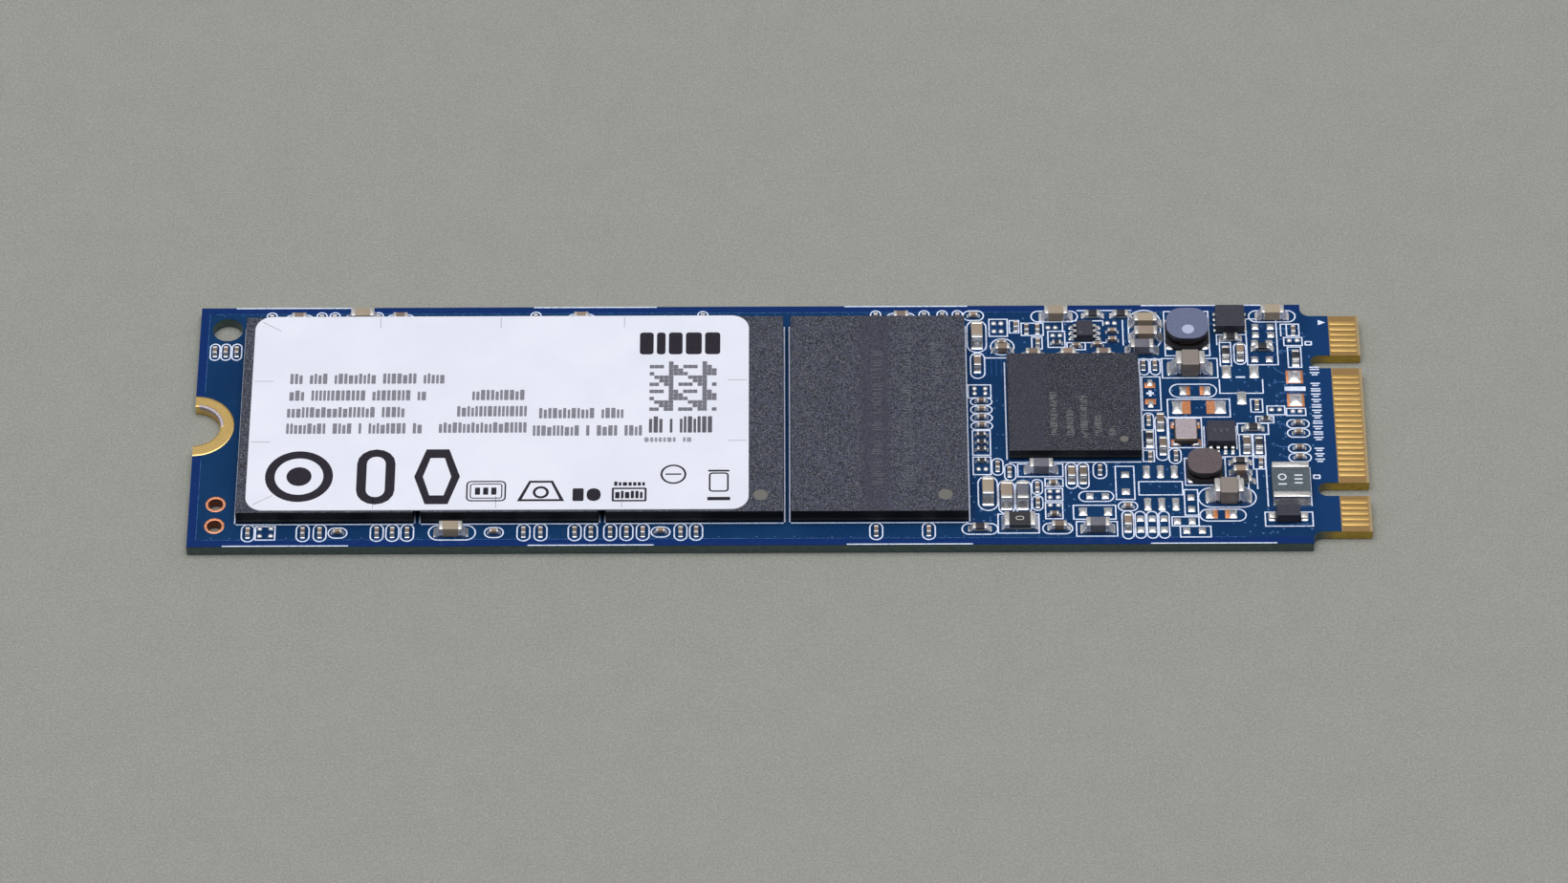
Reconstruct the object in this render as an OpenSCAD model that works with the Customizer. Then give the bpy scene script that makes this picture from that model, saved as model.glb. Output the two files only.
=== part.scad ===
// Solid state drive: an M.2 2280 card with a B and M keyed edge connector.
// Sizes are in millimetres. The origin is the centre of the card's underside,
// +X points to the edge connector, +Y to the contact 1 side, +Z out of the populated face.

/* [Card] */
// Length from the mounting end to the tip of the edge connector
card_l = 80; // [79.8:0.05:80.2]
// Width
card_w = 22; // [21.9:0.05:22.2]
// Thickness over both solder masks
card_t = 0.8; // [0.7:0.05:1]
// Thickness of a solder mask, and of the copper that lies flush in it
mask_t = 0.03; // [0.02:0.01:0.05]
// Radius of the tooling hole
tooling_r = 1.05; // [0.9:0.05:1.2]
// Radius of the two test holes
test_r = 0.5; // [0.4:0.05:0.55]
// Outer radius of the copper ring round a test hole
test_ring_r = 0.7; // [0.65:0.05:0.8]

/* [Mounting end] */
// Radius of the half-round notch that the screw clamps
notch_r = 1.8; // [1.7:0.05:1.85]
// Outer radius of the plated ring round the notch
ring_r = 2.75; // [2.5:0.05:3]

/* [Edge connector] */
// Length of the tongue that enters the socket
tongue_l = 4; // [3.8:0.1:4.2]
// Width of the tongue
tongue_w = 19.85; // [19.8:0.05:19.9]
// Radius of the inside corners at the root of the tongue
root_r = 0.65; // [0.4:0.05:0.8]
// Width of a key notch
key_w = 1.2; // [1.1:0.05:1.3]
// Depth of a key notch from the tip
key_d = 3.5; // [3.2:0.1:3.8]
// Place across the card of the key notch nearer to contact 1
key_b_y = 5.625; // [5.6:0.005:5.65]
// Place across the card of the other key notch
key_m_y = -6.125; // [-6.15:0.005:-6.1]
// Spacing of the contacts
contact_pitch = 0.5; // [0.5:0.01:0.51]
// Width of a contact
contact_w = 0.36; // [0.3:0.01:0.4]
// Length of a contact
contact_l = 1.85; // [1.5:0.05:1.9]
// Length of the tongue that the solder mask leaves bare
bare_l = 2.1; // [2.05:0.05:2.5]

/* [Memory and controller] */
// Width of a memory package along the card
flash_w = 12; // [11.5:0.1:12.3]
// Length of a memory package across the card
flash_l = 18; // [17.5:0.1:18.2]
// Height of a memory package above the card
flash_h = 1.14; // [1:0.01:1.3]
// Spacing of the memory packages
flash_pitch = 12.5; // [12.4:0.05:12.6]
// Side of the square controller package
controller_w = 9; // [8.5:0.1:9.1]
// Height of the controller package above the card
controller_h = 0.95; // [0.8:0.01:1.2]
// Gap under a package that its solder balls fill
ball_h = 0.2; // [0.15:0.01:0.25]

/* [Label] */
// Length of the label
label_l = 34; // [32:0.5:36]
// Width of the label
label_w = 17.85; // [17:0.05:18]
// Radius of the label's corners
label_r = 1.2; // [0.5:0.1:2]
// Thickness of the label
label_t = 0.08; // [0.05:0.01:0.15]

/* [Soldering and legend] */
// Thickness of the solder under a part and on a bare pad
solder_t = 0.04; // [0.02:0.01:0.06]
// Width of a printed legend line
ink_w = 0.09; // [0.08:0.01:0.12]
// Thickness of the printed legend
ink_t = 0.015; // [0.01:0.005:0.03]

/* [Hidden] */
$fn = 48;

tip_x = card_l / 2;
shoulder_x = tip_x - tongue_l;
end_x = -card_l / 2;
laminate_t = card_t - 2 * mask_t;
plate_t = 0.03;
tooling_at = [end_x + 1.9, 8.95];
test_at = [[end_x + 1.8, -7.15], [end_x + 1.8, -9.1]];

// The contact places, counted down from the contact 1 side, that a key notch takes away
contact_1_y = 9.25;
contact_inset = 0.2;
top_slots = [for (i = [0 : 37]) if (!between(i, 6, 9) && !between(i, 29, 32)) i];
bottom_slots = [for (i = [0 : 36]) if (!between(i, 5, 8) && !between(i, 29, 32)) i];
function between(i, low, high) = i >= low && i <= high;

flash_y = 0.05;
flash_x = [for (i = [0 : 3]) -30.75 + flash_pitch * i];
controller_at = [20.1, 1.15];
substrate_t = 0.24;
mark_depth = 0.02;
flash_mark_at = [4.45, -7.5];
flash_mark_r = 0.5;
controller_mark_at = [3.35, -3.45];
controller_mark_r = 0.3;
ball_pitch = 1;
ball_r = 0.25;
fine_ball_pitch = 0.65;
fine_ball_r = 0.17;
flash_die = [8, 12, 0.4];
controller_die = [5, 5, 0.25];
label_at = [-19.1, 0.12];

// Chip sizes: length, width, height, length of a terminal, and reach of the solder past each end
chip_0201 = [0.6, 0.3, 0.3, 0.15, 0.16];
chip_0402 = [1, 0.5, 0.5, 0.22, 0.3];
chip_0603 = [1.6, 0.8, 0.8, 0.32, 0.38];
chip_0805 = [2, 1.25, 1.2, 0.42, 0.58];
film_0201 = [0.6, 0.3, 0.23, 0.15, 0.16];
film_0402 = [1, 0.5, 0.35, 0.22, 0.3];
link_0805 = [2.1, 1.25, 0.5, 0.35, 0.2];
fuse_1210 = [3.2, 2.5, 0.6, 0.5, 0.25];
// How far a chip's body stands back from the faces of its terminals
body_relief = 0.01;
// Share of a chip's height that its solder climbs
fillet_share = 0.55;

// Places of the chip parts: x, y, and 0 where the part lies along the card or 1 where it lies across it.
front_y = -9.8;
back_y = 9.8;
front_across = [
    -35.9, -32.2, -31.05, -27.2, -26.15, -25.15, -17.3, -16.15, -13.85,
    -12.75, -11.45, -10.35, -9.25, -6.7, -5.65, 6.5, 10.05
];
front_along = [-29.85, -19.3, -8.05];
back_across = [-35.1, -31.65, -30.75, -27.75, -16.85, -5.3, 6.65, 10, 11.25, 12.3];
back_along = [-33.2, -26.2, -13.7, 8.4];
hole_side_across = [-38.9, -38.15, -37.4];
hole_side_y = 6.85;
column_x = 13.8;
column_caps_y = [2, 1.25, 0.5, -0.25];
column_films_y = [-1.1, -1.8, -2.45, -3.5];
pull_up_x = 35.4;
pull_up_y = [-0.15, -1, -2.4, -3.25];

capacitors_0201 = concat(
    [for (x = front_across) [x, front_y, 1]],
    [for (x = front_along) [x, front_y, 0]],
    [for (x = back_across) [x, back_y, 1]],
    [for (x = hole_side_across) [x, hole_side_y, 1]],
    [for (y = column_caps_y) [column_x, y, 0]],
    [for (y = pull_up_y) [pull_up_x, y, 0]],
    [
        [13.4, 10, 0], [14.8, -4, 1], [15.6, -4.5, 1], [17.45, -5.9, 1], [17.45, -7.3, 1],
        [21.75, -4.35, 1], [18.55, -5.6, 0], [18.55, -8.4, 0], [23.55, -7.7, 0],
        [16.3, 9, 1], [17.05, 8.75, 1], [17.8, 8.75, 1], [17.8, 7.4, 1], [15.3, 7.4, 0],
        [20.45, 7.1, 0], [21.9, 7.2, 0], [22.95, 8.45, 0], [22.95, 7.65, 0],
        [25, 5.3, 1], [25.8, 5.3, 1], [35.45, 8.5, 1], [32.65, 1.6, 1],
        [25.2, 0.2, 1], [25.2, -3.15, 1], [26.95, -3.05, 1], [32.7, -3.7, 1]
    ]
);
resistors_0201 = concat(
    [for (y = column_films_y) [column_x - 0.05, y, 0]],
    [[19.1, 7.4, 0], [33.2, 0.25, 0]]
);
capacitors_0402 = concat(
    [for (x = back_along) [x, back_y + 0.05, 0]],
    [
        [13.6, 5.45, 1], [19.8, -4.8, 1], [20.6, -4.8, 1], [18.85, -9.55, 0],
        [23.5, -9.2, 1], [15.35, 6.75, 0], [17.45, 6.3, 0], [19.85, 6.3, 0],
        [22.3, 6.3, 0], [31.7, 6.45, 1], [26, 0, 1], [26.1, -2.2, 1],
        [31.3, -4.6, 0], [31.8, -2.1, 1]
    ]
);
resistors_0402 = [
    [13.5, -9.6, 0], [21.65, 10, 0], [23.6, 10, 0], [31.1, 7.8, 0], [30.7, 6.35, 1],
    [33.25, 6.85, 0], [35.5, 5.95, 1], [25.2, -1.5, 1], [31.3, -3.7, 0],
    [31.5, -5.4, 0], [32.3, -0.6, 0], [32.65, -2.1, 1]
];
capacitors_0603 = [
    [-22.2, front_y, 0], [-28.8, back_y + 0.1, 0], [13.6, 8.05, 1], [14.1, -6.35, 1],
    [15.35, -6.75, 1], [19.1, 9.9, 0], [25.25, 9.2, 0], [25.25, 7.95, 0], [34.05, 9.9, 0]
];
ferrite_beads = [[16.45, -6.75, 1], [17.75, -4.3, 0], [21.45, -9.65, 0], [24.95, 6.7, 0]];
capacitors_0805 = [[28.2, 5, 0], [30.4, -6.75, 0]];
zero_ohm_link = [[16.2, -9.1, 0]];
fuse = [[34.65, -5.75, 1]];

// Bare pads of the places that are left empty: x, y, width and depth.
dot = 0.38;
bare_dots = [
    [-35.1, -9.4], [-35.1, -10.05], [-34.35, -9.4], [-34.35, -10.05],
    [13.35, 3.2], [14.1, 3.2], [13.35, 2.75], [14.1, 2.75], [13.5, -4.2], [14, -4.2],
    [18.3, -6.25], [18.85, -6.25], [18.3, -6.8], [18.85, -6.8], [18.3, -7.5], [18.85, -7.5],
    [14.8, 9.3], [15.3, 9.3], [14.8, 8.55], [15.3, 8.55], [18.55, 8.9], [19.05, 8.9],
    [18.85, 8.15], [19.35, 8.15], [22.65, 9.3], [23.15, 9.3], [35.15, 7.6], [35.7, 7.6],
    [33.65, 1.15], [34.2, 1.15], [35.1, 1], [35.6, 1]
];
square_pad = [0.52, 0.56];
bare_squares = [
    [21, -6.7], [22.05, -6.7], [24.35, -8.75], [25.15, -8.75], [25.95, -8.75],
    [24.35, -9.75], [25.15, -9.75], [25.95, -9.75], [32.85, 8.9], [33.9, 8.9],
    [32.85, 8.15], [33.9, 8.15], [32.75, 7.4], [33.75, 7.4], [32.7, 5.85], [33.7, 5.85],
    [26.85, -9], [27.85, -9], [27.45, -9.85], [28.5, -9.85], [27.85, -6.85], [27.85, -7.9]
];
switch_pad = [0.55, 1.15];
switch_pads_x = [24.9, 25.85, 26.8];
switch_pads_y = [-4.5, -7.45];
module_pads = [
    [23.45, -4.75, 0.6, 0.6], [23.45, -6.3, 0.6, 0.6],
    [20.5, -8.1, 0.65, 0.75], [22.2, -8.1, 0.65, 0.75],
    [25.4, 3.7, 0.4, 0.6], [25.4, 1.7, 0.4, 0.6],
    [27.65, 2.95, 0.55, 0.8], [29.3, 2.95, 0.55, 0.8],
    [27.2, 1.4, 0.8, 1.2], [30.15, 1.4, 0.9, 1.2],
    [29.05, -8.35, 0.6, 0.8], [30.65, -8.35, 0.6, 0.8],
    [35.35, 4.2, 1, 1.1], [35.35, 2.05, 1, 1.1],
    [30.7, 4.7, 0.75, 1.2], [32.6, 4.7, 0.75, 1.2], [31.65, 2.25, 0.75, 1.2]
];
// Copper that the solder leaves uncovered beside a pad: x, y, width and depth.
copper_edges = [
    [25.4, 3.3, 0.75, 0.16], [25.4, 2.12, 0.75, 0.16],
    [28.05, 2.95, 0.2, 0.8], [28.9, 2.95, 0.2, 0.8],
    [27.9, 1.4, 0.45, 1.2], [29.42, 1.4, 0.45, 1.2],
    [29.5, -8.35, 0.2, 0.8], [30.2, -8.35, 0.2, 0.8],
    [34.8, 2.05, 0.08, 1.2], [35.9, 2.05, 0.08, 1.2],
    [34.8, 4.2, 0.08, 1.2], [35.9, 4.2, 0.08, 1.2]
];

inductor_foot_h = 0.3;
inductor_top_h = 0.4;
// Shares of an inductor's width: radii of its post and its winding, width of its top flange and radius of the
// flange's corners, distance of the foot's corner cuts, and size and place of a terminal
inductor_post = 0.3;
inductor_coil = 0.44;
inductor_top = 0.97;
inductor_corner = 0.38;
inductor_cut = 0.65;
inductor_plate = [0.28, 0.92];
inductor_plate_x = 0.36;
boost_inductor_at = [28.1, 8.2];
boost_inductor_w = 3;
boost_inductor_h = 1.22;
buck_inductor_at = [28.85, -4.4];
buck_inductor_w = 2.4;
buck_inductor_h = 1.05;
crystal_at = [27.7, -1.05];
crystal_size = [1.6, 2, 0.4];
crystal_lid_size = [1.45, 1.85, 0.15];
crystal_pad = [0.65, 0.6];
crystal_pad_at = [0.68, 0.8];

// Bent leads: thickness, rise of the shoulder over the foot, and the shares of the reach where the slope
// between them starts and ends; the slope's upper side lies a little further out
lead_t = 0.1;
lead_rise = 0.16;
slope_from = 0.45;
slope_to = 0.6;
slope_shift = 0.1;
// Distance from a body with bent leads to the middle of their pads
pad_out = 0.31;
diode_at = [34.35, -8.6];
diode_size = [1.7, 1.15, 0.7];
diode_lead = [0.44, 0.5, 0.16];
diode_pad = [0.5, 0.8];
converter_at = [30.1, -1.45];
converter_size = [2, 2, 0.72];
converter_lift = 0.04;
converter_lead_x = [-0.75, -0.25, 0.25, 0.75];
converter_lead = [0.35, 0.2];
converter_pad = [0.28, 0.35];
load_switch_at = [21.05, 8.35];
load_switch_size = [1.2, 1.5, 0.55];
load_switch_lift = 0.02;
load_switch_lead_y = [-0.5, 0, 0.5];
load_switch_lead = [0.4, 0.22];
load_switch_pad = [0.4, 0.28];
power_manager_at = [31.1, 9.3];
power_manager_size = [2, 2, 0.7];
power_manager_pad_y = [-0.75, -0.25, 0.25, 0.75];
power_manager_pad = [0.4, 0.24, 0.09];
power_manager_pad_show = 0.15;

// ---- Board ----

module card_outline() {
    difference() {
        union() {
            translate([end_x, -card_w / 2]) square([shoulder_x - end_x, card_w]);
            translate([0, -tongue_w / 2]) square([tip_x, tongue_w]);
            for (side = [-1, 1])
                translate([shoulder_x + root_r / 2, side * (tongue_w + root_r) / 2])
                    square(root_r + 0.01, center = true);
        }
        for (side = [-1, 1])
            translate([shoulder_x + root_r, side * (tongue_w / 2 + root_r)]) circle(root_r);
        key_notch(key_b_y);
        key_notch(key_m_y);
        translate(tooling_at) circle(tooling_r);
    }
}

module key_notch(y) {
    translate([tip_x - key_d + key_w / 2, y]) circle(key_w / 2);
    translate([tip_x - key_d + key_w / 2, y - key_w / 2]) square([key_d, key_w]);
}

module board_laminate() {
    color("#4b4a2c") translate([0, 0, mask_t]) linear_extrude(laminate_t) difference() {
        card_outline();
        translate([end_x, 0]) circle(notch_r + plate_t);
        for (at = test_at) translate(at) circle(test_r + plate_t);
    }
}

module mask() {
    linear_extrude(mask_t) difference() {
        card_outline();
        translate([tip_x - bare_l, -card_w / 2]) square([bare_l, card_w]);
        translate([end_x, 0]) circle(ring_r);
        for (at = test_at) translate(at) circle(test_ring_r);
    }
}

module solder_mask_top() { color("#123a6e") translate([0, 0, card_t - mask_t]) mask(); }

module solder_mask_bottom() { color("#123a6e") mask(); }

module contacts(slots, first_y, z) {
    for (i = slots)
        translate([tip_x - contact_l - contact_inset, first_y - contact_pitch * i - contact_w / 2, z])
            cube([contact_l, contact_w, mask_t]);
}

module edge_contacts_top() { color("#d9a441") contacts(top_slots, contact_1_y, card_t - mask_t); }

module edge_contacts_bottom() { color("#d9a441") contacts(bottom_slots, contact_1_y - contact_pitch / 2, 0); }

// A plated barrel with a land at each face, turned through part of a circle
module plated_hole(hole_r, land_r, turn) {
    rotate([0, 0, -turn / 2]) rotate_extrude(angle = turn) polygon([
        [hole_r, 0], [land_r, 0], [land_r, mask_t], [hole_r + plate_t, mask_t],
        [hole_r + plate_t, card_t - mask_t], [land_r, card_t - mask_t],
        [land_r, card_t], [hole_r, card_t]
    ]);
}

module mounting_ring() { color("#d9a441") translate([end_x, 0, 0]) plated_hole(notch_r, ring_r, 180); }

module test_hole_eyelets() {
    color("#d98a6a") for (at = test_at) translate(at) plated_hole(test_r, test_ring_r, 360);
}

// ---- Bare pads and printed legend ----

module pad(x, y, width, depth, thickness) {
    translate([x - width / 2, y - depth / 2, card_t]) cube([width, depth, thickness]);
}

module bare_pads() {
    color("#d8dade") {
        for (p = bare_dots) pad(p.x, p.y, dot, dot, solder_t);
        for (p = bare_squares) pad(p.x, p.y, square_pad.x, square_pad.y, solder_t);
        for (p = module_pads) pad(p.x, p.y, p[2], p[3], solder_t);
        for (x = switch_pads_x, y = switch_pads_y) pad(x, y, switch_pad.x, switch_pad.y, solder_t);
    }
}

module pad_copper() { color("#c9784a") for (p = copper_edges) pad(p.x, p.y, p[2], p[3], solder_t / 2); }

module pill_shape(size) {
    r = min(size.x, size.y) / 2;
    straight = [size.x - 2 * r, size.y - 2 * r];
    if (straight.x > 0) square([straight.x, size.y], center = true);
    if (straight.y > 0) square([size.x, straight.y], center = true);
    for (end = [-1, 1]) translate(end * straight / 2) circle(r);
}

module pill_line(x, y, size) {
    translate([x, y]) difference() {
        pill_shape(size);
        pill_shape(size - [2, 2] * ink_w);
    }
}

module box_line(x, y, size) {
    translate([x, y]) difference() {
        square(size, center = true);
        square(size - [2, 2] * ink_w, center = true);
    }
}

module bar(x, y, width, depth) {
    translate([x, y]) square([width, depth], center = true);
}

// Outlines of two places at the front edge, of those round the controller and of those in the power supply:
// x, y, width and depth
front_pills = [[-22.13, -9.8, 3.25, 1.4]];
front_boxes = [[-34.73, -9.8, 1.4, 1.3]];
controller_side_pills = [
    [13.6, 8.1, 1.4, 3.1], [13.62, 5.35, 1.05, 2.45], [13.4, 10.05, 1.5, 1], [15.35, 7.1, 1.7, 1.6],
    [13.5, -9.62, 2.5, 1.05], [14.8, -4, 0.85, 1.6], [15.65, -4.5, 0.85, 1.6],
    [14.1, -6.4, 1.4, 3.2], [15.35, -6.75, 1.15, 3.1], [16.5, -6.75, 1.15, 3.1],
    [17.45, -5.85, 0.8, 1.45], [17.45, -7.3, 0.8, 1.4], [19.8, -4.83, 0.84, 2.45],
    [20.6, -4.83, 0.84, 2.45], [21.75, -4.35, 1, 1.6], [21.43, -6.72, 2.45, 1],
    [23.55, -7.62, 1.4, 0.9], [18.75, -9.6, 2.1, 1.05], [23.5, -9.3, 0.85, 2.6],
    [19, 9.95, 3.3, 1.1]
];
controller_side_boxes = [
    [13.7, 2.95, 1.65, 1.3], [13.75, -1.8, 1.3, 2.35], [13.75, -3.9, 1.3, 1.7],
    [15.1, 8.9, 1.35, 1.7], [16.2, 9, 0.75, 1.25], [17.45, 8.75, 1.6, 1.25],
    [17.75, 7.45, 0.8, 1.2], [16.12, -9.15, 2.85, 1.8], [17.7, -4.33, 3.15, 1.25],
    [18.6, -5.45, 1.3, 0.8], [18.58, -6.55, 1.25, 1.2], [18.55, -8, 1.25, 1.55],
    [21.28, -8.15, 2.95, 1.35], [21.4, -9.65, 2.85, 1.4], [23.42, -5.5, 1.35, 3.1],
    [19.1, 7.8, 1.25, 1.6], [20.45, 7.15, 1.35, 0.75]
];
power_pills = [
    [25.2, 8.6, 2.3, 3.9], [25.05, 5.2, 0.78, 1.6], [25.83, 5.2, 0.76, 1.6],
    [28.35, 2.95, 3.3, 1.3], [34.05, 9.9, 3.3, 1.15], [29.95, -8.45, 3.2, 1.15],
    [30.3, -6.85, 4, 1.85], [26.9, -3.05, 0.9, 1.5], [31.7, 6.4, 0.9, 2.1],
    [25.2, 0.05, 0.8, 1.75], [26.05, -1.4, 0.9, 4.2]
];
power_boxes = [
    [28.1, 8.3, 3.15, 4.25], [25.48, 2.7, 1.35, 3.2], [28.68, 1.33, 4.35, 1.75],
    [30.7, 6.35, 0.85, 2.3], [33.25, 7.5, 2.2, 4.4], [35.43, 8.6, 0.95, 1.2],
    [35.4, 7.52, 1.35, 0.85], [35.45, 6.05, 1, 2], [33.95, 1.1, 1.3, 0.9],
    [35.32, 0.95, 1.4, 0.75], [32.65, 1.55, 0.9, 1.3], [33.15, 0.25, 1.3, 0.7],
    [32.3, -0.6, 2.2, 1.1], [31.75, -2.1, 0.95, 2.05], [32.67, -2.1, 0.9, 2.05],
    [27.67, -0.95, 2.35, 2.8], [30.9, -4.6, 1.9, 3], [32.6, -3.75, 0.9, 1.15],
    [25.82, -6, 3.05, 1.3], [27.85, -7.3, 1, 2.4], [27.4, -9, 1.9, 0.9],
    [28.05, -9.93, 2.15, 1.05], [25.1, -1.5, 0.85, 1.75], [25.1, -3.05, 0.85, 1.1],
    [34.4, -8.83, 3.3, 1.35], [28.2, 5.05, 3.9, 1.9], [28.9, -4.5, 2.85, 2.55]
];
// Legend lines on their own: x, y, width and depth
bars = [
    [31.65, 2.7, 3.05, ink_w], [30.18, 3.35, ink_w, 1.3], [33.15, 3.35, ink_w, 1.3],
    [31.65, 4.2, 0.65, 0.14], [35.35, 3.1, 1.45, 0.4], [25.4, 2.72, 0.5, 0.2],
    [25.4, 2.72, 0.2, 0.55], [33.05, -5.4, ink_w, 4.6], [36, -5.9, ink_w, 3.5],
    [28.95, -1.4, ink_w, 2.1], [31.15, -1.4, ink_w, 2.1], [32.4, -5.2, ink_w, 1.8],
    [22.45, 10.5, 3.8, ink_w], [20.95, 9.53, 2.8, ink_w], [19.55, 9, ink_w, 1.1],
    [22.35, 9.3, ink_w, 0.5], [21.6, 7.48, 1.9, ink_w], [14.85, 6.07, 1.5, ink_w],
    [23.7, 8.4, ink_w, 2.4], [25.4, 5.9, 1.8, ink_w], [31.15, 8.18, 2.1, ink_w],
    [30.15, 7.7, ink_w, 1], [34.6, 8.6, ink_w, 1.2], [34.85, 9.155, 0.5, ink_w]
];
edge_line_x = [-33.35, -12.75, 8.75, 29.25];
edge_line_l = 8.5;
pin_1_mark_at = [37.45, 9.3];
pin_1_mark = 0.5;
// Sizes of the outlines round the small capacitors, in the order of their rows
front_across_pill = [0.95, 1.6];
front_along_pill = [1.35, 1];
back_across_pill = [0.78, 1.55];
back_along_pill = [2.1, 1.1];
hole_side_pill = [0.74, 1.6];
column_pill = [1.55, 0.74];
pull_up_pill = [1.6, 0.84];
empty_row_pill = [0.79, 2.5];
empty_row_y = -9.3;
empty_row_x = [24.35, 25.15, 25.95];
// Gaps between a package and the lines beside it and in front of it
flash_line_gap = 0.08;
controller_line_gap = [0.14, 0.25];

module legend_print() {
    color("#d5dcf2") translate([0, 0, card_t]) linear_extrude(ink_t) {
        for (x = front_across) pill_line(x, front_y, front_across_pill);
        for (x = front_along) pill_line(x, front_y, front_along_pill);
        for (x = back_across) pill_line(x, back_y, back_across_pill);
        for (x = back_along) pill_line(x, back_y, back_along_pill);
        for (x = hole_side_across) pill_line(x, hole_side_y, hole_side_pill);
        for (y = column_caps_y) pill_line(column_x, y, column_pill);
        for (y = pull_up_y) pill_line(pull_up_x, y, pull_up_pill);
        for (x = empty_row_x) pill_line(x, empty_row_y, empty_row_pill);
        for (p = concat(front_pills, controller_side_pills, power_pills)) pill_line(p.x, p.y, [p[2], p[3]]);
        for (p = concat(front_boxes, controller_side_boxes, power_boxes)) box_line(p.x, p.y, [p[2], p[3]]);
        for (p = bars) bar(p.x, p.y, p[2], p[3]);
        for (x = edge_line_x, side = [-1, 1]) bar(x, side * (card_w - ink_w) / 2, edge_line_l, ink_w);
        package_lines();
        translate(pin_1_mark_at) polygon(pin_1_mark * [[-0.5, -0.5], [0.5, 0], [-0.5, 0.5]]);
    }
}

// Lines beside the memory packages and the controller
module package_lines() {
    for (x = flash_x) {
        bar(x, flash_y - flash_l / 2 - flash_line_gap, flash_w, ink_w);
        for (side = [-1, 1]) bar(x + side * (flash_w / 2 + flash_line_gap), flash_y, ink_w, flash_l);
    }
    beside = controller_w / 2 + controller_line_gap.x;
    for (side = [-1, 1]) bar(controller_at.x + side * beside, controller_at.y, ink_w, controller_w);
    bar(controller_at.x, controller_at.y - controller_w / 2 - controller_line_gap.y, controller_w, ink_w);
}

// ---- Packages with solder balls ----

// Moulded cap with a pin 1 dot, hollow where the silicon sits
module package(size, height, die, mark_at, mark_r) {
    cap_z = ball_h + substrate_t;
    difference() {
        translate([-size.x / 2, -size.y / 2, cap_z]) cube([size.x, size.y, height - cap_z]);
        translate([mark_at.x, mark_at.y, height - mark_depth]) cylinder(h = 1, r = mark_r);
        translate([-die.x / 2, -die.y / 2, cap_z - 1]) cube([die.x, die.y, die.z + 1]);
    }
}

module substrate(size) {
    translate([-size.x / 2, -size.y / 2, ball_h]) cube([size.x, size.y, substrate_t]);
}

module balls(columns, rows, pitch, r) {
    for (i = [0 : columns - 1], j = [0 : rows - 1])
        translate([pitch * (i - (columns - 1) / 2), pitch * (j - (rows - 1) / 2), 0])
            cylinder(h = ball_h, r = r);
}

module die(size) {
    translate([-size.x / 2, -size.y / 2, ball_h + substrate_t]) cube(size);
}

module at_flash(i) { translate([flash_x[i], flash_y, card_t]) children(); }

module at_controller() { translate([controller_at.x, controller_at.y, card_t]) children(); }

module flash_package(i) {
    color("#48484f") at_flash(i) package([flash_w, flash_l], flash_h, flash_die, flash_mark_at, flash_mark_r);
}

module flash_substrate(i) { color("#20241f") at_flash(i) substrate([flash_w, flash_l]); }

module flash_solder_balls() {
    color("#c9ccd2") for (i = [0 : 3]) at_flash(i) balls(11, 12, ball_pitch, ball_r);
}

module controller_package() {
    color("#3e3e4b") at_controller() package(
        [controller_w, controller_w], controller_h, controller_die, controller_mark_at, controller_mark_r
    );
}

module controller_substrate() { color("#20241f") at_controller() substrate([controller_w, controller_w]); }

module controller_solder_balls() {
    color("#c9ccd2") at_controller() balls(13, 13, fine_ball_pitch, fine_ball_r);
}

module silicon_dies() {
    color("#6d7078") {
        for (i = [0 : 3]) at_flash(i) die(flash_die);
        at_controller() die(controller_die);
    }
}

// ---- Label ----

module round_square(size, r) {
    square([size.x - 2 * r, size.y], center = true);
    square([size.x, size.y - 2 * r], center = true);
    for (i = [-1, 1], j = [-1, 1])
        translate([i * (size.x / 2 - r), j * (size.y / 2 - r)]) circle(r);
}

module label() {
    color("#e6e8f4") translate([label_at.x, label_at.y, card_t + flash_h]) linear_extrude(label_t)
        round_square([label_l, label_w], label_r);
}

// ---- Inductors ----

module inductor_core(width, height) {
    difference() {
        translate([-width / 2, -width / 2, solder_t]) cube([width, width, inductor_foot_h]);
        for (turn = [45 : 90 : 315])
            rotate(turn) translate([width * inductor_cut, -width / 2, 0]) cube([width, width, height]);
    }
    cylinder(h = height, r = inductor_post * width);
    translate([0, 0, height - inductor_top_h]) linear_extrude(inductor_top_h)
        round_square([inductor_top * width, inductor_top * width], inductor_corner * width);
}

module inductor_winding(width, height) {
    low = solder_t + inductor_foot_h;
    translate([0, 0, low]) difference() {
        cylinder(h = height - inductor_top_h - low, r = inductor_coil * width);
        translate([0, 0, -1]) cylinder(h = height, r = inductor_post * width);
    }
}

// Two plates under the foot, which show past its cut corners
module inductor_terminals(width) {
    for (side = [-1, 1])
        translate([side * inductor_plate_x * width, 0, 0])
            block([inductor_plate.x * width, inductor_plate.y * width, solder_t], 0);
}

module at_boost() { translate([boost_inductor_at.x, boost_inductor_at.y, card_t]) children(); }

module at_buck() { translate([buck_inductor_at.x, buck_inductor_at.y, card_t]) children(); }

module boost_inductor_core() {
    color("#6f7386") at_boost() inductor_core(boost_inductor_w, boost_inductor_h);
}

module boost_inductor_winding() {
    color("#2b211d") at_boost() inductor_winding(boost_inductor_w, boost_inductor_h);
}

module boost_inductor_terminals() { color("#c7c9cc") at_boost() inductor_terminals(boost_inductor_w); }

module buck_inductor_core() {
    color("#5f514e") at_buck() inductor_core(buck_inductor_w, buck_inductor_h);
}

module buck_inductor_winding() {
    color("#2b211d") at_buck() inductor_winding(buck_inductor_w, buck_inductor_h);
}

module buck_inductor_terminals() { color("#c7c9cc") at_buck() inductor_terminals(buck_inductor_w); }

// ---- Crystal ----

module at_crystal() { translate([crystal_at.x, crystal_at.y, card_t]) children(); }

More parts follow.
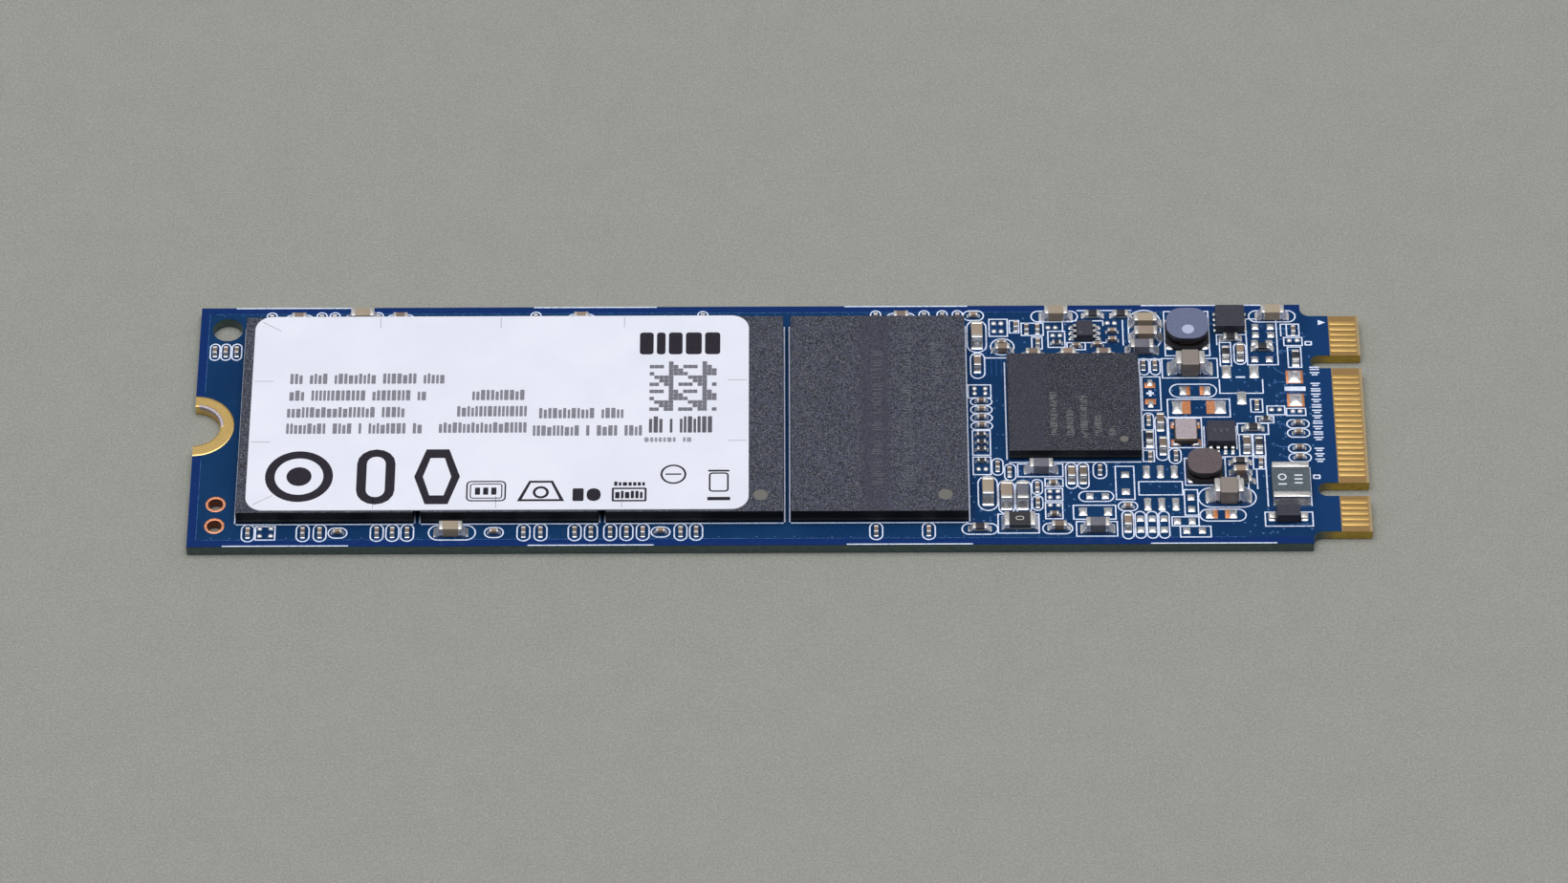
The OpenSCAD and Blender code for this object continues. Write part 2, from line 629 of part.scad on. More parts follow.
module block(size, z) { translate([-size.x / 2, -size.y / 2, z]) cube(size); }

module crystal_base() { color("#3a3330") at_crystal() block(crystal_size, solder_t); }

module crystal_lid() { color("#b9adb0") at_crystal() block(crystal_lid_size, solder_t + crystal_size.z); }

module crystal_terminals() {
    color("#c98a5c") at_crystal() for (i = [-1, 1], j = [-1, 1])
        translate([i * crystal_pad_at.x, j * crystal_pad_at.y, 0])
            block([crystal_pad.x, crystal_pad.y, solder_t], 0);
}

// ---- Leaded and leadless chips ----

module at_diode() { translate([diode_at.x, diode_at.y, card_t]) children(); }

module diode_body() { color("#26262a") at_diode() block(diode_size, solder_t); }

module diode_leads() {
    color("#c7c9cc") at_diode() for (side = [-1, 1])
        translate([side * (diode_size.x + diode_lead.x) / 2, 0, 0]) block(diode_lead, solder_t);
}

// A lead with a foot on the pad and a shoulder that enters the body, reaching out along +X from x = 0
module bent_lead(reach, width) {
    high = lead_rise + lead_t;
    translate([0, width / 2, solder_t]) rotate([90, 0, 0]) linear_extrude(width) polygon([
        [0, lead_rise], [reach * slope_from, lead_rise], [reach * slope_to, 0], [reach, 0], [reach, lead_t],
        [reach * (slope_to + slope_shift), lead_t], [reach * (slope_from + slope_shift), high], [0, high]
    ]);
}

module at_converter() { translate([converter_at.x, converter_at.y, card_t]) children(); }

module converter_body() { color("#222226") at_converter() block(converter_size, solder_t + converter_lift); }

module converter_leads() {
    color("#c7c9cc") at_converter() for (x = converter_lead_x, turn = [-90, 90])
        translate([x, sign(turn) * converter_size.y / 2, 0])
            rotate(turn) bent_lead(converter_lead.x, converter_lead.y);
}

module at_load_switch() { translate([load_switch_at.x, load_switch_at.y, card_t]) children(); }

module load_switch_body() {
    color("#222226") at_load_switch() block(load_switch_size, solder_t + load_switch_lift);
}

module load_switch_leads() {
    color("#c7c9cc") at_load_switch() for (y = load_switch_lead_y, side = [0, 1])
        translate([(side - 0.5) * load_switch_size.x, y, 0])
            rotate(180 * (1 - side)) bent_lead(load_switch_lead.x, load_switch_lead.y);
}

module at_power_manager() { translate([power_manager_at.x, power_manager_at.y, card_t]) children(); }

module power_manager_body() {
    color("#33353d") at_power_manager() block(power_manager_size, power_manager_pad.z);
}

module power_manager_pads() {
    out = (power_manager_size.x - power_manager_pad.x) / 2 + power_manager_pad_show;
    color("#c7c9cc") at_power_manager() for (y = power_manager_pad_y, side = [-1, 1])
        translate([side * out, y, 0]) block(power_manager_pad, 0);
}

// ---- Chip parts ----

// Puts a part at each place, lying along or across the card
module at_each(places) {
    for (p = places) translate([p.x, p.y, card_t]) rotate(90 * p.z) children();
}

module chip_body(size) {
    body = [size[0] - 2 * size[3], size[1] - 2 * body_relief, size[2] - 2 * body_relief];
    block(body, solder_t + body_relief);
}

module chip_terminals(size) {
    for (side = [-1, 1])
        translate([side * (size[0] - size[3]) / 2, 0, 0]) block([size[3], size[1], size[2]], solder_t);
}

// Solder under each terminal, and a fillet that climbs its end face
module chip_solder(size) {
    climb = solder_t + fillet_share * size[2];
    for (turn = [0, 180])
        rotate(turn) translate([size[0] / 2 - size[3], size[1] / 2, 0]) rotate([90, 0, 0])
            linear_extrude(size[1]) polygon([
                [0, 0], [size[3] + size[4], 0], [size[3] + size[4], solder_t / 2],
                [size[3], climb], [size[3], solder_t], [0, solder_t]
            ]);
}

module capacitor_bodies_0201() { color("#8f7a66") at_each(capacitors_0201) chip_body(chip_0201); }
module capacitor_terminals_0201() { color("#c7c9cc") at_each(capacitors_0201) chip_terminals(chip_0201); }
module capacitor_bodies_0402() { color("#96765e") at_each(capacitors_0402) chip_body(chip_0402); }
module capacitor_terminals_0402() { color("#c7c9cc") at_each(capacitors_0402) chip_terminals(chip_0402); }
module capacitor_bodies_0603() { color("#b09a78") at_each(capacitors_0603) chip_body(chip_0603); }
module capacitor_terminals_0603() { color("#c7c9cc") at_each(capacitors_0603) chip_terminals(chip_0603); }
module capacitor_bodies_0805() { color("#8b837c") at_each(capacitors_0805) chip_body(chip_0805); }
module capacitor_terminals_0805() { color("#c7c9cc") at_each(capacitors_0805) chip_terminals(chip_0805); }
module resistor_bodies_0201() { color("#26242a") at_each(resistors_0201) chip_body(film_0201); }
module resistor_terminals_0201() { color("#c7c9cc") at_each(resistors_0201) chip_terminals(film_0201); }
module resistor_bodies_0402() { color("#26242a") at_each(resistors_0402) chip_body(film_0402); }
module resistor_terminals_0402() { color("#c7c9cc") at_each(resistors_0402) chip_terminals(film_0402); }
module ferrite_bead_bodies() { color("#67676b") at_each(ferrite_beads) chip_body(chip_0603); }
module ferrite_bead_terminals() { color("#c7c9cc") at_each(ferrite_beads) chip_terminals(chip_0603); }
module zero_ohm_link_body() { color("#26211f") at_each(zero_ohm_link) chip_body(link_0805); }
module zero_ohm_link_terminals() { color("#c7c9cc") at_each(zero_ohm_link) chip_terminals(link_0805); }
module fuse_body() { color("#4d545c") at_each(fuse) chip_body(fuse_1210); }
module fuse_terminals() { color("#d4d5d6") at_each(fuse) chip_terminals(fuse_1210); }

module solder_joints() {
    color("#cfd2d6") {
        at_each(capacitors_0201) chip_solder(chip_0201);
        at_each(capacitors_0402) chip_solder(chip_0402);
        at_each(concat(capacitors_0603, ferrite_beads)) chip_solder(chip_0603);
        at_each(capacitors_0805) chip_solder(chip_0805);
        at_each(resistors_0201) chip_solder(film_0201);
        at_each(resistors_0402) chip_solder(film_0402);
        at_each(zero_ohm_link) chip_solder(link_0805);
        at_each(fuse) chip_solder(fuse_1210);
        chip_pads_for_leads();
    }
}

// Solder under the leads of the diode, the converter and the load switch
module chip_pads_for_leads() {
    at_diode() for (side = [-1, 1])
        translate([side * (diode_size.x + diode_pad.x) / 2, 0, 0])
            block([diode_pad.x, diode_pad.y, solder_t], 0);
    at_converter() for (x = converter_lead_x, side = [-1, 1])
        translate([x, side * (converter_size.y / 2 + pad_out), 0])
            block([converter_pad.x, converter_pad.y, solder_t], 0);
    at_load_switch() for (y = load_switch_lead_y, side = [-1, 1])
        translate([side * (load_switch_size.x / 2 + pad_out), y, 0])
            block([load_switch_pad.x, load_switch_pad.y, solder_t], 0);
}

board_laminate();
solder_mask_top();
solder_mask_bottom();
edge_contacts_top();
edge_contacts_bottom();
mounting_ring();
test_hole_eyelets();
bare_pads();
pad_copper();
legend_print();
flash_package(0);  // flash_package_1
flash_package(1);  // flash_package_2
flash_package(2);  // flash_package_3
flash_package(3);  // flash_package_4
flash_substrate(0);  // flash_substrate_1
flash_substrate(1);  // flash_substrate_2
flash_substrate(2);  // flash_substrate_3
flash_substrate(3);  // flash_substrate_4
flash_solder_balls();
controller_package();
controller_substrate();
controller_solder_balls();
silicon_dies();
label();
boost_inductor_core();
boost_inductor_winding();
boost_inductor_terminals();
buck_inductor_core();
buck_inductor_winding();
buck_inductor_terminals();
crystal_base();
crystal_lid();
crystal_terminals();
fuse_body();
fuse_terminals();
diode_body();
diode_leads();
converter_body();
converter_leads();
load_switch_body();
load_switch_leads();
power_manager_body();
power_manager_pads();
capacitor_bodies_0201();
capacitor_terminals_0201();
capacitor_bodies_0402();
capacitor_terminals_0402();
capacitor_bodies_0603();
capacitor_terminals_0603();
capacitor_bodies_0805();
capacitor_terminals_0805();
resistor_bodies_0201();
resistor_terminals_0201();
resistor_bodies_0402();
resistor_terminals_0402();
ferrite_bead_bodies();
ferrite_bead_terminals();
zero_ohm_link_body();
zero_ohm_link_terminals();
solder_joints();
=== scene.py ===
"""Looks of an M.2 2280 solid state drive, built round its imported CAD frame.

Shapes are worked out in millimetres of the row frame; Piece.make() turns them into metres.
"""

import math
import random

import bmesh
import bpy
import numpy as np
from mathutils import Matrix, Vector, geometry


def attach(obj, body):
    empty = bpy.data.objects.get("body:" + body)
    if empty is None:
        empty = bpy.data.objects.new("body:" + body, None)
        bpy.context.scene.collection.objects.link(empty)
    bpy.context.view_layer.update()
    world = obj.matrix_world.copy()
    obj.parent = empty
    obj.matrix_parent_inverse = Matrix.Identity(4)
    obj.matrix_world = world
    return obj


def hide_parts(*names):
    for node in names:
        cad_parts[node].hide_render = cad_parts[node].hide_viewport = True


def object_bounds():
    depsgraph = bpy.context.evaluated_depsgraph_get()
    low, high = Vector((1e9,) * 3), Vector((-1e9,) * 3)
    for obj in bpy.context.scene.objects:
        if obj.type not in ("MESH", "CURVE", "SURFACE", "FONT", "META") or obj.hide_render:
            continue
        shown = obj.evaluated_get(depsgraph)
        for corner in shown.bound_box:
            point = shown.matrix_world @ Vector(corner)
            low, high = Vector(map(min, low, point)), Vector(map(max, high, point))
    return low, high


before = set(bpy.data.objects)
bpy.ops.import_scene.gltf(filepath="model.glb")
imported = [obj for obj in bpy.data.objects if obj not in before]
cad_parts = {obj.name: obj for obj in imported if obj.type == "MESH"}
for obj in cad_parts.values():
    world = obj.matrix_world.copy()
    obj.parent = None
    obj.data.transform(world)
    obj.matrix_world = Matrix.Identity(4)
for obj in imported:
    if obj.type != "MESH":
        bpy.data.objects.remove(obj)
cad_low, cad_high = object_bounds()

MM = 0.001
SHARP_ANGLE = math.radians(50)
draw = random.Random(2280)


# ---- Reading the frame ----


class Box:
    """The box round some points, in millimetres."""

    def __init__(self, points):
        self.points = points
        self.low = points.min(axis=0)
        self.high = points.max(axis=0)
        self.size = self.high - self.low
        self.centre = (self.low + self.high) / 2
        self.foot = np.array([self.centre[0], self.centre[1], self.low[2]])

    def covers(self, place, margin=0.0):
        """Whether a place on the card lies inside the box, seen from above."""
        near = np.abs(np.asarray(place)[:2] - self.centre[:2])
        return bool((near <= self.size[:2] / 2 + margin).all())


def mesh_points(node):
    """Every vertex of a CAD node."""
    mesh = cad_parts[node].data
    flat = np.empty(len(mesh.vertices) * 3)
    mesh.vertices.foreach_get("co", flat)
    return flat.reshape(-1, 3) / MM


def box_of(node):
    return Box(mesh_points(node))


def solids(node):
    """The box of each separate solid in a CAD node, sorted along and then across the card."""
    points = mesh_points(node)
    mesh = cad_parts[node].data
    edges = np.empty(len(mesh.edges) * 2, int)
    mesh.edges.foreach_get("vertices", edges)
    _, spot = np.unique(np.round(points, 4), axis=0, return_inverse=True)
    spot = spot.ravel()
    one, other = spot[edges[0::2]], spot[edges[1::2]]
    group = np.arange(spot.max() + 1)
    while True:
        before = group.copy()
        lowest = np.minimum(group[one], group[other])
        np.minimum.at(group, one, lowest)
        np.minimum.at(group, other, lowest)
        group = group[group]
        if (group == before).all():
            break
    owner = group[spot]
    found = [Box(points[owner == label]) for label in np.unique(owner)]
    return sorted(found, key=lambda box: (round(box.centre[0], 3), round(box.centre[1], 3)))


def boxes_of(nodes):
    """The box of each separate solid in several CAD nodes."""
    return [box for node in nodes for box in solids(node)]


CARD = box_of("board_laminate")
MASK = box_of("solder_mask_top")
TOP = MASK.high[2]
LABEL = box_of("label")
MEMORY_NODES = [f"flash_package_{i}" for i in range(1, 5)]
# Where the card narrows to its tongue, and how wide the border round its copper planes is
SHOULDER_X = CARD.high[0] - 4
BORDER = 0.6


# ---- Shapes: each function gives (points, faces), centred over the origin and standing on z = 0 ----


def arc(centre, radius, start, end, steps=12):
    """Points along part of a circle, in degrees."""
    turns = [math.radians(start + (end - start) * i / steps) for i in range(steps + 1)]
    return [(centre[0] + radius * math.cos(a), centre[1] + radius * math.sin(a)) for a in turns]


def circle(radius, sides=32, centre=(0, 0)):
    return arc(centre, radius, 0, 360, sides)[:-1]


def rounded_outline(half_x, half_y, corner, steps=4):
    """A rectangle with round corners, counter-clockwise, as (x, y) points."""
    corner = min(corner, half_x, half_y)
    x, y = half_x - corner, half_y - corner
    outline = []
    for quarter, centre in enumerate([(x, y), (-x, y), (-x, -y), (x, -y)]):
        outline += arc(centre, corner, 90 * quarter, 90 * quarter + 90, steps)
    return outline


def raised(outline, z):
    """The outline's points at height z."""
    return np.array([(x, y, z) for x, y in outline], float)


def loft(rings, closed=False, caps=True):
    """A skin over rings of equally many points, either capped at both ends or joined up."""
    count = len(rings[0])
    last = len(rings) if closed else len(rings) - 1
    faces = []
    for level in range(last):
        low = level * count
        high = (level + 1) % len(rings) * count
        for i in range(count):
            after = (i + 1) % count
            faces.append((low + i, low + after, high + after, high + i))
    if caps and not closed:
        top = (len(rings) - 1) * count
        faces.append(tuple(range(count - 1, -1, -1)))
        faces.append(tuple(range(top, top + count)))
    return np.concatenate([np.asarray(r, float) for r in rings]), faces


def block_levels(height, edge, foot=0.0, draft=0.0, steps=3):
    """(inset, z) pairs up the side of a block whose top edge, and bottom edge if foot is set, are round."""
    turns = [math.pi / 2 * step / steps for step in range(steps + 1)]
    if foot:
        levels = [(foot * (1 - math.sin(a)), foot * (1 - math.cos(a))) for a in turns]
    else:
        levels = [(0.0, 0.0)]
    levels += [(edge * (1 - math.cos(a)), height - edge * (1 - math.sin(a))) for a in turns]
    return [(inset + draft * z / height, z) for inset, z in levels]


def block(size, corner=0.05, edge=0.05, foot=0.0, draft=0.0, steps=3):
    """A box with round corners and edges; draft is how far its walls lean in."""
    rings = []
    for inset, z in block_levels(size[2], edge, foot, draft, steps):
        left = max(corner - inset, 0.25 * corner)
        rings.append(raised(rounded_outline(size[0] / 2 - inset, size[1] / 2 - inset, left, steps), z))
    return loft(rings)


def plate(outline, height):
    """A flat plate of an outline."""
    return loft([raised(outline, 0), raised(outline, height)])


def frame_plate(outer, inner, height):
    """A flat plate between two outlines of equally many points."""
    rings = [raised(outer, 0), raised(outer, height), raised(inner, height), raised(inner, 0)]
    return loft(rings, closed=True)


def stroke(path, width, height):
    """A flat line of even width along a path of (x, y) points."""
    path = np.array(path, float)
    steps = np.diff(path, axis=0)
    steps /= np.linalg.norm(steps, axis=1)[:, None]
    ahead = np.concatenate([steps[:1], steps]) + np.concatenate([steps, steps[-1:]])
    across = np.stack([-ahead[:, 1], ahead[:, 0]], axis=1)
    across /= np.maximum(np.sum(across**2, axis=1), 0.5)[:, None] / 2
    rings = []
    for middle, side in zip(path, across * width / 2):
        left, right = middle + side, middle - side
        rings.append([(*right, 0), (*right, height), (*left, height), (*left, 0)])
    return loft(rings)


def spin(profile, start, turn, steps):
    """A closed (radius, z) profile turned about the z axis, in degrees."""
    whole = turn >= 360
    rings = []
    for step in range(steps if whole else steps + 1):
        angle = math.radians(start + turn * step / steps)
        rings.append([(r * math.cos(angle), r * math.sin(angle), z) for r, z in profile])
    return loft(rings, closed=whole)


def tube(path, radius, sides=8):
    """A round wire along a path that never runs straight up."""
    path = [Vector(p) for p in path]
    rings = []
    for i, middle in enumerate(path):
        ahead = (path[min(i + 1, len(path) - 1)] - path[max(i - 1, 0)]).normalized()
        side = ahead.cross(Vector((0, 0, 1))).normalized()
        over = side.cross(ahead)
        turns = [math.tau * k / sides for k in range(sides)]
        rings.append([middle + radius * (side * math.cos(a) + over * math.sin(a)) for a in turns])
    return loft(rings)


def ribbon(path, width, thickness):
    """A flat strip bent along a path of (x, z) points, with its width across y."""
    path = np.array(path, float)
    ahead = np.gradient(path, axis=0)
    ahead /= np.linalg.norm(ahead, axis=1)[:, None]
    rings = []
    for (x, z), (along_x, along_z) in zip(path, ahead):
        low = (x + along_z * thickness / 2, z - along_x * thickness / 2)
        high = (x - along_z * thickness / 2, z + along_x * thickness / 2)
        corners = [(low, -1), (low, 1), (high, 1), (high, -1)]
        rings.append([(x, side * width / 2, z) for (x, z), side in corners])
    return loft(rings)


def mound(top):
    """A closed solid under a grid of top points, with a flat foot at z = 0."""
    points = np.concatenate([top.reshape(-1, 3), (top * [1, 1, 0]).reshape(-1, 3)])
    grid = np.arange(top[..., 0].size).reshape(top.shape[:2])
    quads = np.stack([grid[:-1, :-1], grid[1:, :-1], grid[1:, 1:], grid[:-1, 1:]], axis=-1).reshape(-1, 4)
    rim = np.concatenate([grid[:-1, 0], grid[-1, :-1], grid[:0:-1, -1], grid[0, :0:-1]])
    after = np.roll(rim, -1)
    walls = np.stack([rim, grid.size + rim, grid.size + after, after], axis=-1)
    return points, np.concatenate([quads, grid.size + quads[:, ::-1], walls]).tolist()


def solder_dome(half_x, half_y, height, pinch=0.0, roundness=0.5, cells=10):
    """Solder on a bare pad: a dome with round corners, drawn in at its waist by pinch."""
    rim = 0.2 * height
    steps = np.sin(np.linspace(-math.pi / 2, math.pi / 2, cells + 1))
    u, v = np.meshgrid(steps, steps, indexing="ij")
    x = half_x * u * np.sqrt(1 - roundness * v**2 / 2) * (1 - pinch * (1 - v**2))
    y = half_y * v * np.sqrt(1 - roundness * u**2 / 2)
    z = rim + (height - rim) * ((1 - u**2) * (1 - v**2)) ** 0.7
    return mound(np.stack([x, y, z], axis=-1))


def solder_fillet(reach, under, near, far, climb, cells=10):
    """A hollow wedge of solder that climbs an end face at x = 0 and runs out to x = reach.

    It goes under the end, and widens from half its width near the end to half its width far from it.
    """
    rim = 0.025
    along = np.concatenate([[-under], np.linspace(0, 1, cells) ** 1.3 * reach])
    steps = np.sin(np.linspace(-math.pi / 2, math.pi / 2, cells + 1))
    x, v = np.meshgrid(along, steps, indexing="ij")
    out = np.clip(x / reach, 0, 1)
    y = (near + (far - near) * np.minimum(1, 2.5 * out)) * v
    x = x - 0.12 * reach * out**4 * v**6
    side = np.sqrt(1 - np.abs(v) ** 5)
    wedge = (1 - out) ** 2.3 * (0.35 + 0.65 * side)
    crown = 0.16 * np.sin(math.pi * np.sqrt(out)) * side
    return mound(np.stack([x, y, rim + (climb - rim) * np.maximum(wedge, 0) + crown * near * 0.8], axis=-1))


def barrel(radius, height, sides=10):
    """A solder ball that has been pressed flat at both ends."""
    rings = []
    for share in (0, 0.2, 0.5, 0.8, 1):
        bulge = 0.78 + 0.22 * math.sin(math.pi * share)
        rings.append(raised(circle(radius * bulge, sides), height * share))
    return loft(rings)


def holed_face(outer, hole, z):
    """The flat face between an outline and a hole in it."""
    loops = [[Vector((x, y, z)) for x, y in outline] for outline in (outer, hole)]
    triangles = geometry.tessellate_polygon(loops)
    return np.array([tuple(p) for loop in loops for p in loop]), [tuple(t) for t in triangles]


def joined(*shapes):
    """Several shapes as one."""
    points, faces, start = [], [], 0
    for shape_points, shape_faces in shapes:
        points.append(shape_points)
        faces += [tuple(start + i for i in face) for face in shape_faces]
        start += len(shape_points)
    return np.concatenate(points), faces


def upside_down(shape, height):
    """A shape turned over within its height."""
    points, faces = shape
    return points * [1, 1, -1] + [0, 0, height], faces


class Piece:
    """Gathers shapes and makes one Blender object of them. Each shape keeps a tint for its paint."""

    def __init__(self):
        self.points, self.faces, self.tints, self.count = [], [], [], 0

    def add(self, shape, at=(0, 0, 0), turn=0.0, tint=0.5):
        """Puts a shape in place, turned by some degrees about the z axis."""
        points, faces = shape
        cos, sin = math.cos(math.radians(turn)), math.sin(math.radians(turn))
        spun = points @ np.array([[cos, sin, 0], [-sin, cos, 0], [0, 0, 1]])
        self.points.append(spun + np.asarray(at, float))
        self.faces += [tuple(self.count + i for i in face) for face in faces]
        self.tints.append(np.broadcast_to(np.asarray(tint, float), len(points)))
        self.count += len(points)

    def make(self, name, paint, *nodes, weld=False):
        """Makes the object, which rides on the card and stands for the CAD nodes named."""
        mesh = bpy.data.meshes.new(name)
        mesh.from_pydata(np.concatenate(self.points) * MM, [], self.faces)
        tints = mesh.attributes.new("tint", "FLOAT", "POINT")
        tints.data.foreach_set("value", np.concatenate(self.tints))
        tidy = bmesh.new()
        tidy.from_mesh(mesh)
        if weld:
            bmesh.ops.remove_doubles(tidy, verts=tidy.verts, dist=1e-8)
        bmesh.ops.recalc_face_normals(tidy, faces=tidy.faces)
        tidy.to_mesh(mesh)
        tidy.free()
        mesh.shade_smooth()
        mesh.set_sharp_from_angle(angle=SHARP_ANGLE)
        mesh.materials.append(paint.material)
        piece = bpy.data.objects.new(name, mesh)
        bpy.context.scene.collection.objects.link(piece)
        normals = piece.modifiers.new("normals", "WEIGHTED_NORMAL")
        normals.keep_sharp = True
        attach(piece, "root")
        if nodes:
            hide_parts(*nodes)


def soft_blocks(name, node, paint, corner, edge):
    """Every solid of a CAD node as a block with round corners and edges."""
    piece = Piece()
    for box in solids(node):
        piece.add(block(box.size, corner, edge), at=box.foot)
    piece.make(name, paint, node)


# ---- Paints ----


def linear(colour):
    """A colour of 0 to 255 screen values as the linear one that shaders take; a socket stays as it is."""
    if isinstance(colour, bpy.types.NodeSocket):
        return colour
    shares = [value / 255 for value in colour]
    return (*(s / 12.92 if s <= 0.04045 else ((s + 0.055) / 1.055) ** 2.4 for s in shares), 1.0)


class Nodes:
    """Adds nodes to a tree. A value is a number, a vector, a colour or another node's output."""

    def __init__(self, tree):
        self.tree = tree

    def node(self, kind, *feeds, **settings):
        """A new node. Each feed is an input's name or number and the value that goes into it."""
        node = self.tree.nodes.new(kind)
        for setting, value in settings.items():
            setattr(node, setting, value)
        for socket, value in feeds:
            self.feed(node.inputs[socket], value)
        return node

    def feed(self, socket, value):
        if isinstance(value, bpy.types.NodeSocket):
            self.tree.links.new(value, socket)
        else:
            socket.default_value = value

    def math(self, operation, one, other=0.0):
        return self.node("ShaderNodeMath", (0, one), (1, other), operation=operation).outputs["Value"]

    def spread(self, value, low, high, to_low=0.0, to_high=1.0):
        """Stretches the range low to high over to_low to to_high, and clips it."""
        ends = [("From Min", low), ("From Max", high), ("To Min", to_low), ("To Max", to_high)]
        return self.node("ShaderNodeMapRange", ("Value", value), *ends).outputs["Result"]

    def blend(self, share, one, other):
        """From colour one to colour other."""
        feeds = [("Fac", share), ("Color1", linear(one)), ("Color2", linear(other))]
        return self.node("ShaderNodeMixRGB", *feeds).outputs["Color"]

    def axes(self, vector):
        """The x, y and z of a vector."""
        return self.node("ShaderNodeSeparateXYZ", ("Vector", vector)).outputs


class Paint(Nodes):
    """A material made of nodes; it keeps a slot name that nothing here uses. Its patterns are placed in
    millimetres of the row frame.
    """

    def __init__(self, name, slot=None, roughness=0.5, metal=0.0, specular=0.5, coat=0.0):
        self.slot = slot or name
        self.material = bpy.data.materials.new(name)
        self.material.use_nodes = True
        super().__init__(self.material.node_tree)
        place = self.node("ShaderNodeTexCoord").outputs["Object"]
        scaled = self.node("ShaderNodeVectorMath", ("Vector", place), ("Scale", 1 / MM), operation="SCALE")
        self.spot = scaled.outputs["Vector"]
        self.set("Roughness", roughness)
        self.set("Metallic", metal)
        self.set("Specular IOR Level", specular)
        self.set("Coat Weight", coat)

    def set(self, socket, value):
        self.feed(self.tree.nodes["Principled BSDF"].inputs[socket], value)
        return self

    def noise(self, scale, detail, stretch=(1, 1, 1)):
        """Soft noise with about scale grains to a millimetre."""
        where = self.node("ShaderNodeVectorMath", (0, self.spot), (1, stretch), operation="MULTIPLY")
        feeds = [("Vector", where.outputs["Vector"]), ("Scale", scale), ("Detail", detail)]
        return self.node("ShaderNodeTexNoise", *feeds).outputs["Fac"]

    def mottle(self, scale, detail, low=0.35, high=0.65, to_low=0.0, to_high=1.0, stretch=(1, 1, 1)):
        """Noise with its middle range stretched out."""
        return self.spread(self.noise(scale, detail, stretch), low, high, to_low, to_high)

    def cells(self, scale):
        """Distance from the middles of cells, about scale of them to a millimetre."""
        return self.node("ShaderNodeTexVoronoi", ("Vector", self.spot), ("Scale", scale)).outputs["Distance"]

    def upward(self):
        """1 on faces that lie flat, 0 on upright ones."""
        _, _, z = self.axes(self.node("ShaderNodeNewGeometry").outputs["Normal"])
        return self.spread(self.math("ABSOLUTE", z), 0.4, 0.8)

    def tint(self, low=0.0, high=1.0):
        """How far the piece's tint is on its way from low to high."""
        value = self.node("ShaderNodeAttribute", attribute_name="tint").outputs["Fac"]
        return self.spread(value, low, high)

    def colour(self, share, one, other):
        """Sets the paint's colour, from colour one to colour other."""
        return self.set("Base Color", self.blend(share, one, other))

    def rough(self, share, at_none, at_full):
        """Sets the roughness by a share."""
        return self.set("Roughness", self.spread(share, 0, 1, at_none, at_full))

    def bump(self, height, depth, strength=1.0):
        """Relief whose full height is depth millimetres."""
        feeds = [("Height", height), ("Distance", depth * MM), ("Strength", strength)]
        return self.set("Normal", self.node("ShaderNodeBump", *feeds).outputs["Normal"])


def solder_mask_paint():
    """Blue lacquer: teal over the copper planes, more violet in the bare band round the card's border."""
    paint = Paint("solder_mask", specular=0.15)
    x, y, _ = paint.axes(paint.spot)
    past_side = paint.math("SUBTRACT", paint.math("ABSOLUTE", y), MASK.high[1] - BORDER)
    past_end = paint.math("SUBTRACT", MASK.low[0] + BORDER, x)
    outside = paint.spread(paint.math("MAXIMUM", past_side, past_end), -0.03, 0.03)
    colour = paint.blend(paint.mottle(0.35, 3), (14, 46, 86), (18, 53, 92))
    colour = paint.blend(outside, colour, (16, 42, 98))
    colour = paint.blend(paint.spread(x, SHOULDER_X, SHOULDER_X + 1), colour, (20, 54, 100))
    colour = paint.blend(paint.mottle(14, 2, 0.3, 0.7, 0, 0.2), colour, (24, 68, 116))
    dust = paint.mottle(9, 1, 0.77, 0.8, 0, 0.5)
    paint.colour(dust, colour, (120, 150, 190))
    paint.set("Roughness", paint.mottle(2, 3, 0.3, 0.7, 0.16, 0.24))
    return paint.bump(paint.noise(5, 3), 0.002)


def laminate_paint():
    """Glass fibre board: layers in its cut edges, amber at the tongue; between the contacts it is darker."""
    paint = Paint("glass_laminate", roughness=0.6)
    x, _, z = paint.axes(paint.spot)
    fibres = paint.mottle(2.2, 3, stretch=(1, 1, 9))
    plane_edge = paint.spread(paint.math("SINE", paint.math("MULTIPLY", z, 31)), 0.86, 0.97, 0, 0.3)
    dark = paint.blend(fibres, (62, 82, 84), (92, 112, 108))
    dark = paint.blend(plane_edge, dark, (104, 92, 66))
    amber = paint.blend(fibres, (164, 132, 40), (206, 176, 76))
    edge = paint.blend(paint.spread(x, SHOULDER_X + 0.4, SHOULDER_X + 1.6), dark, amber)
    threads = paint.math("SINE", paint.math("MULTIPLY", x, 12))
    weave = paint.math("MULTIPLY", threads, paint.mottle(3, 2, 0.3, 0.7))
    face = paint.blend(paint.spread(weave, -1, 1), (146, 122, 84), (158, 136, 98))
    past_roots = paint.spread(x, MASK.high[0], MASK.high[0] + 0.1)
    before_tips = paint.spread(x, CARD.high[0] - 0.14, CARD.high[0] - 0.24)
    face = paint.blend(paint.math("MULTIPLY", past_roots, before_tips), face, (136, 104, 54))
    paint.colour(paint.upward(), edge, face)
    return paint.bump(paint.math("ADD", fibres, paint.noise(20, 2)), 0.012)


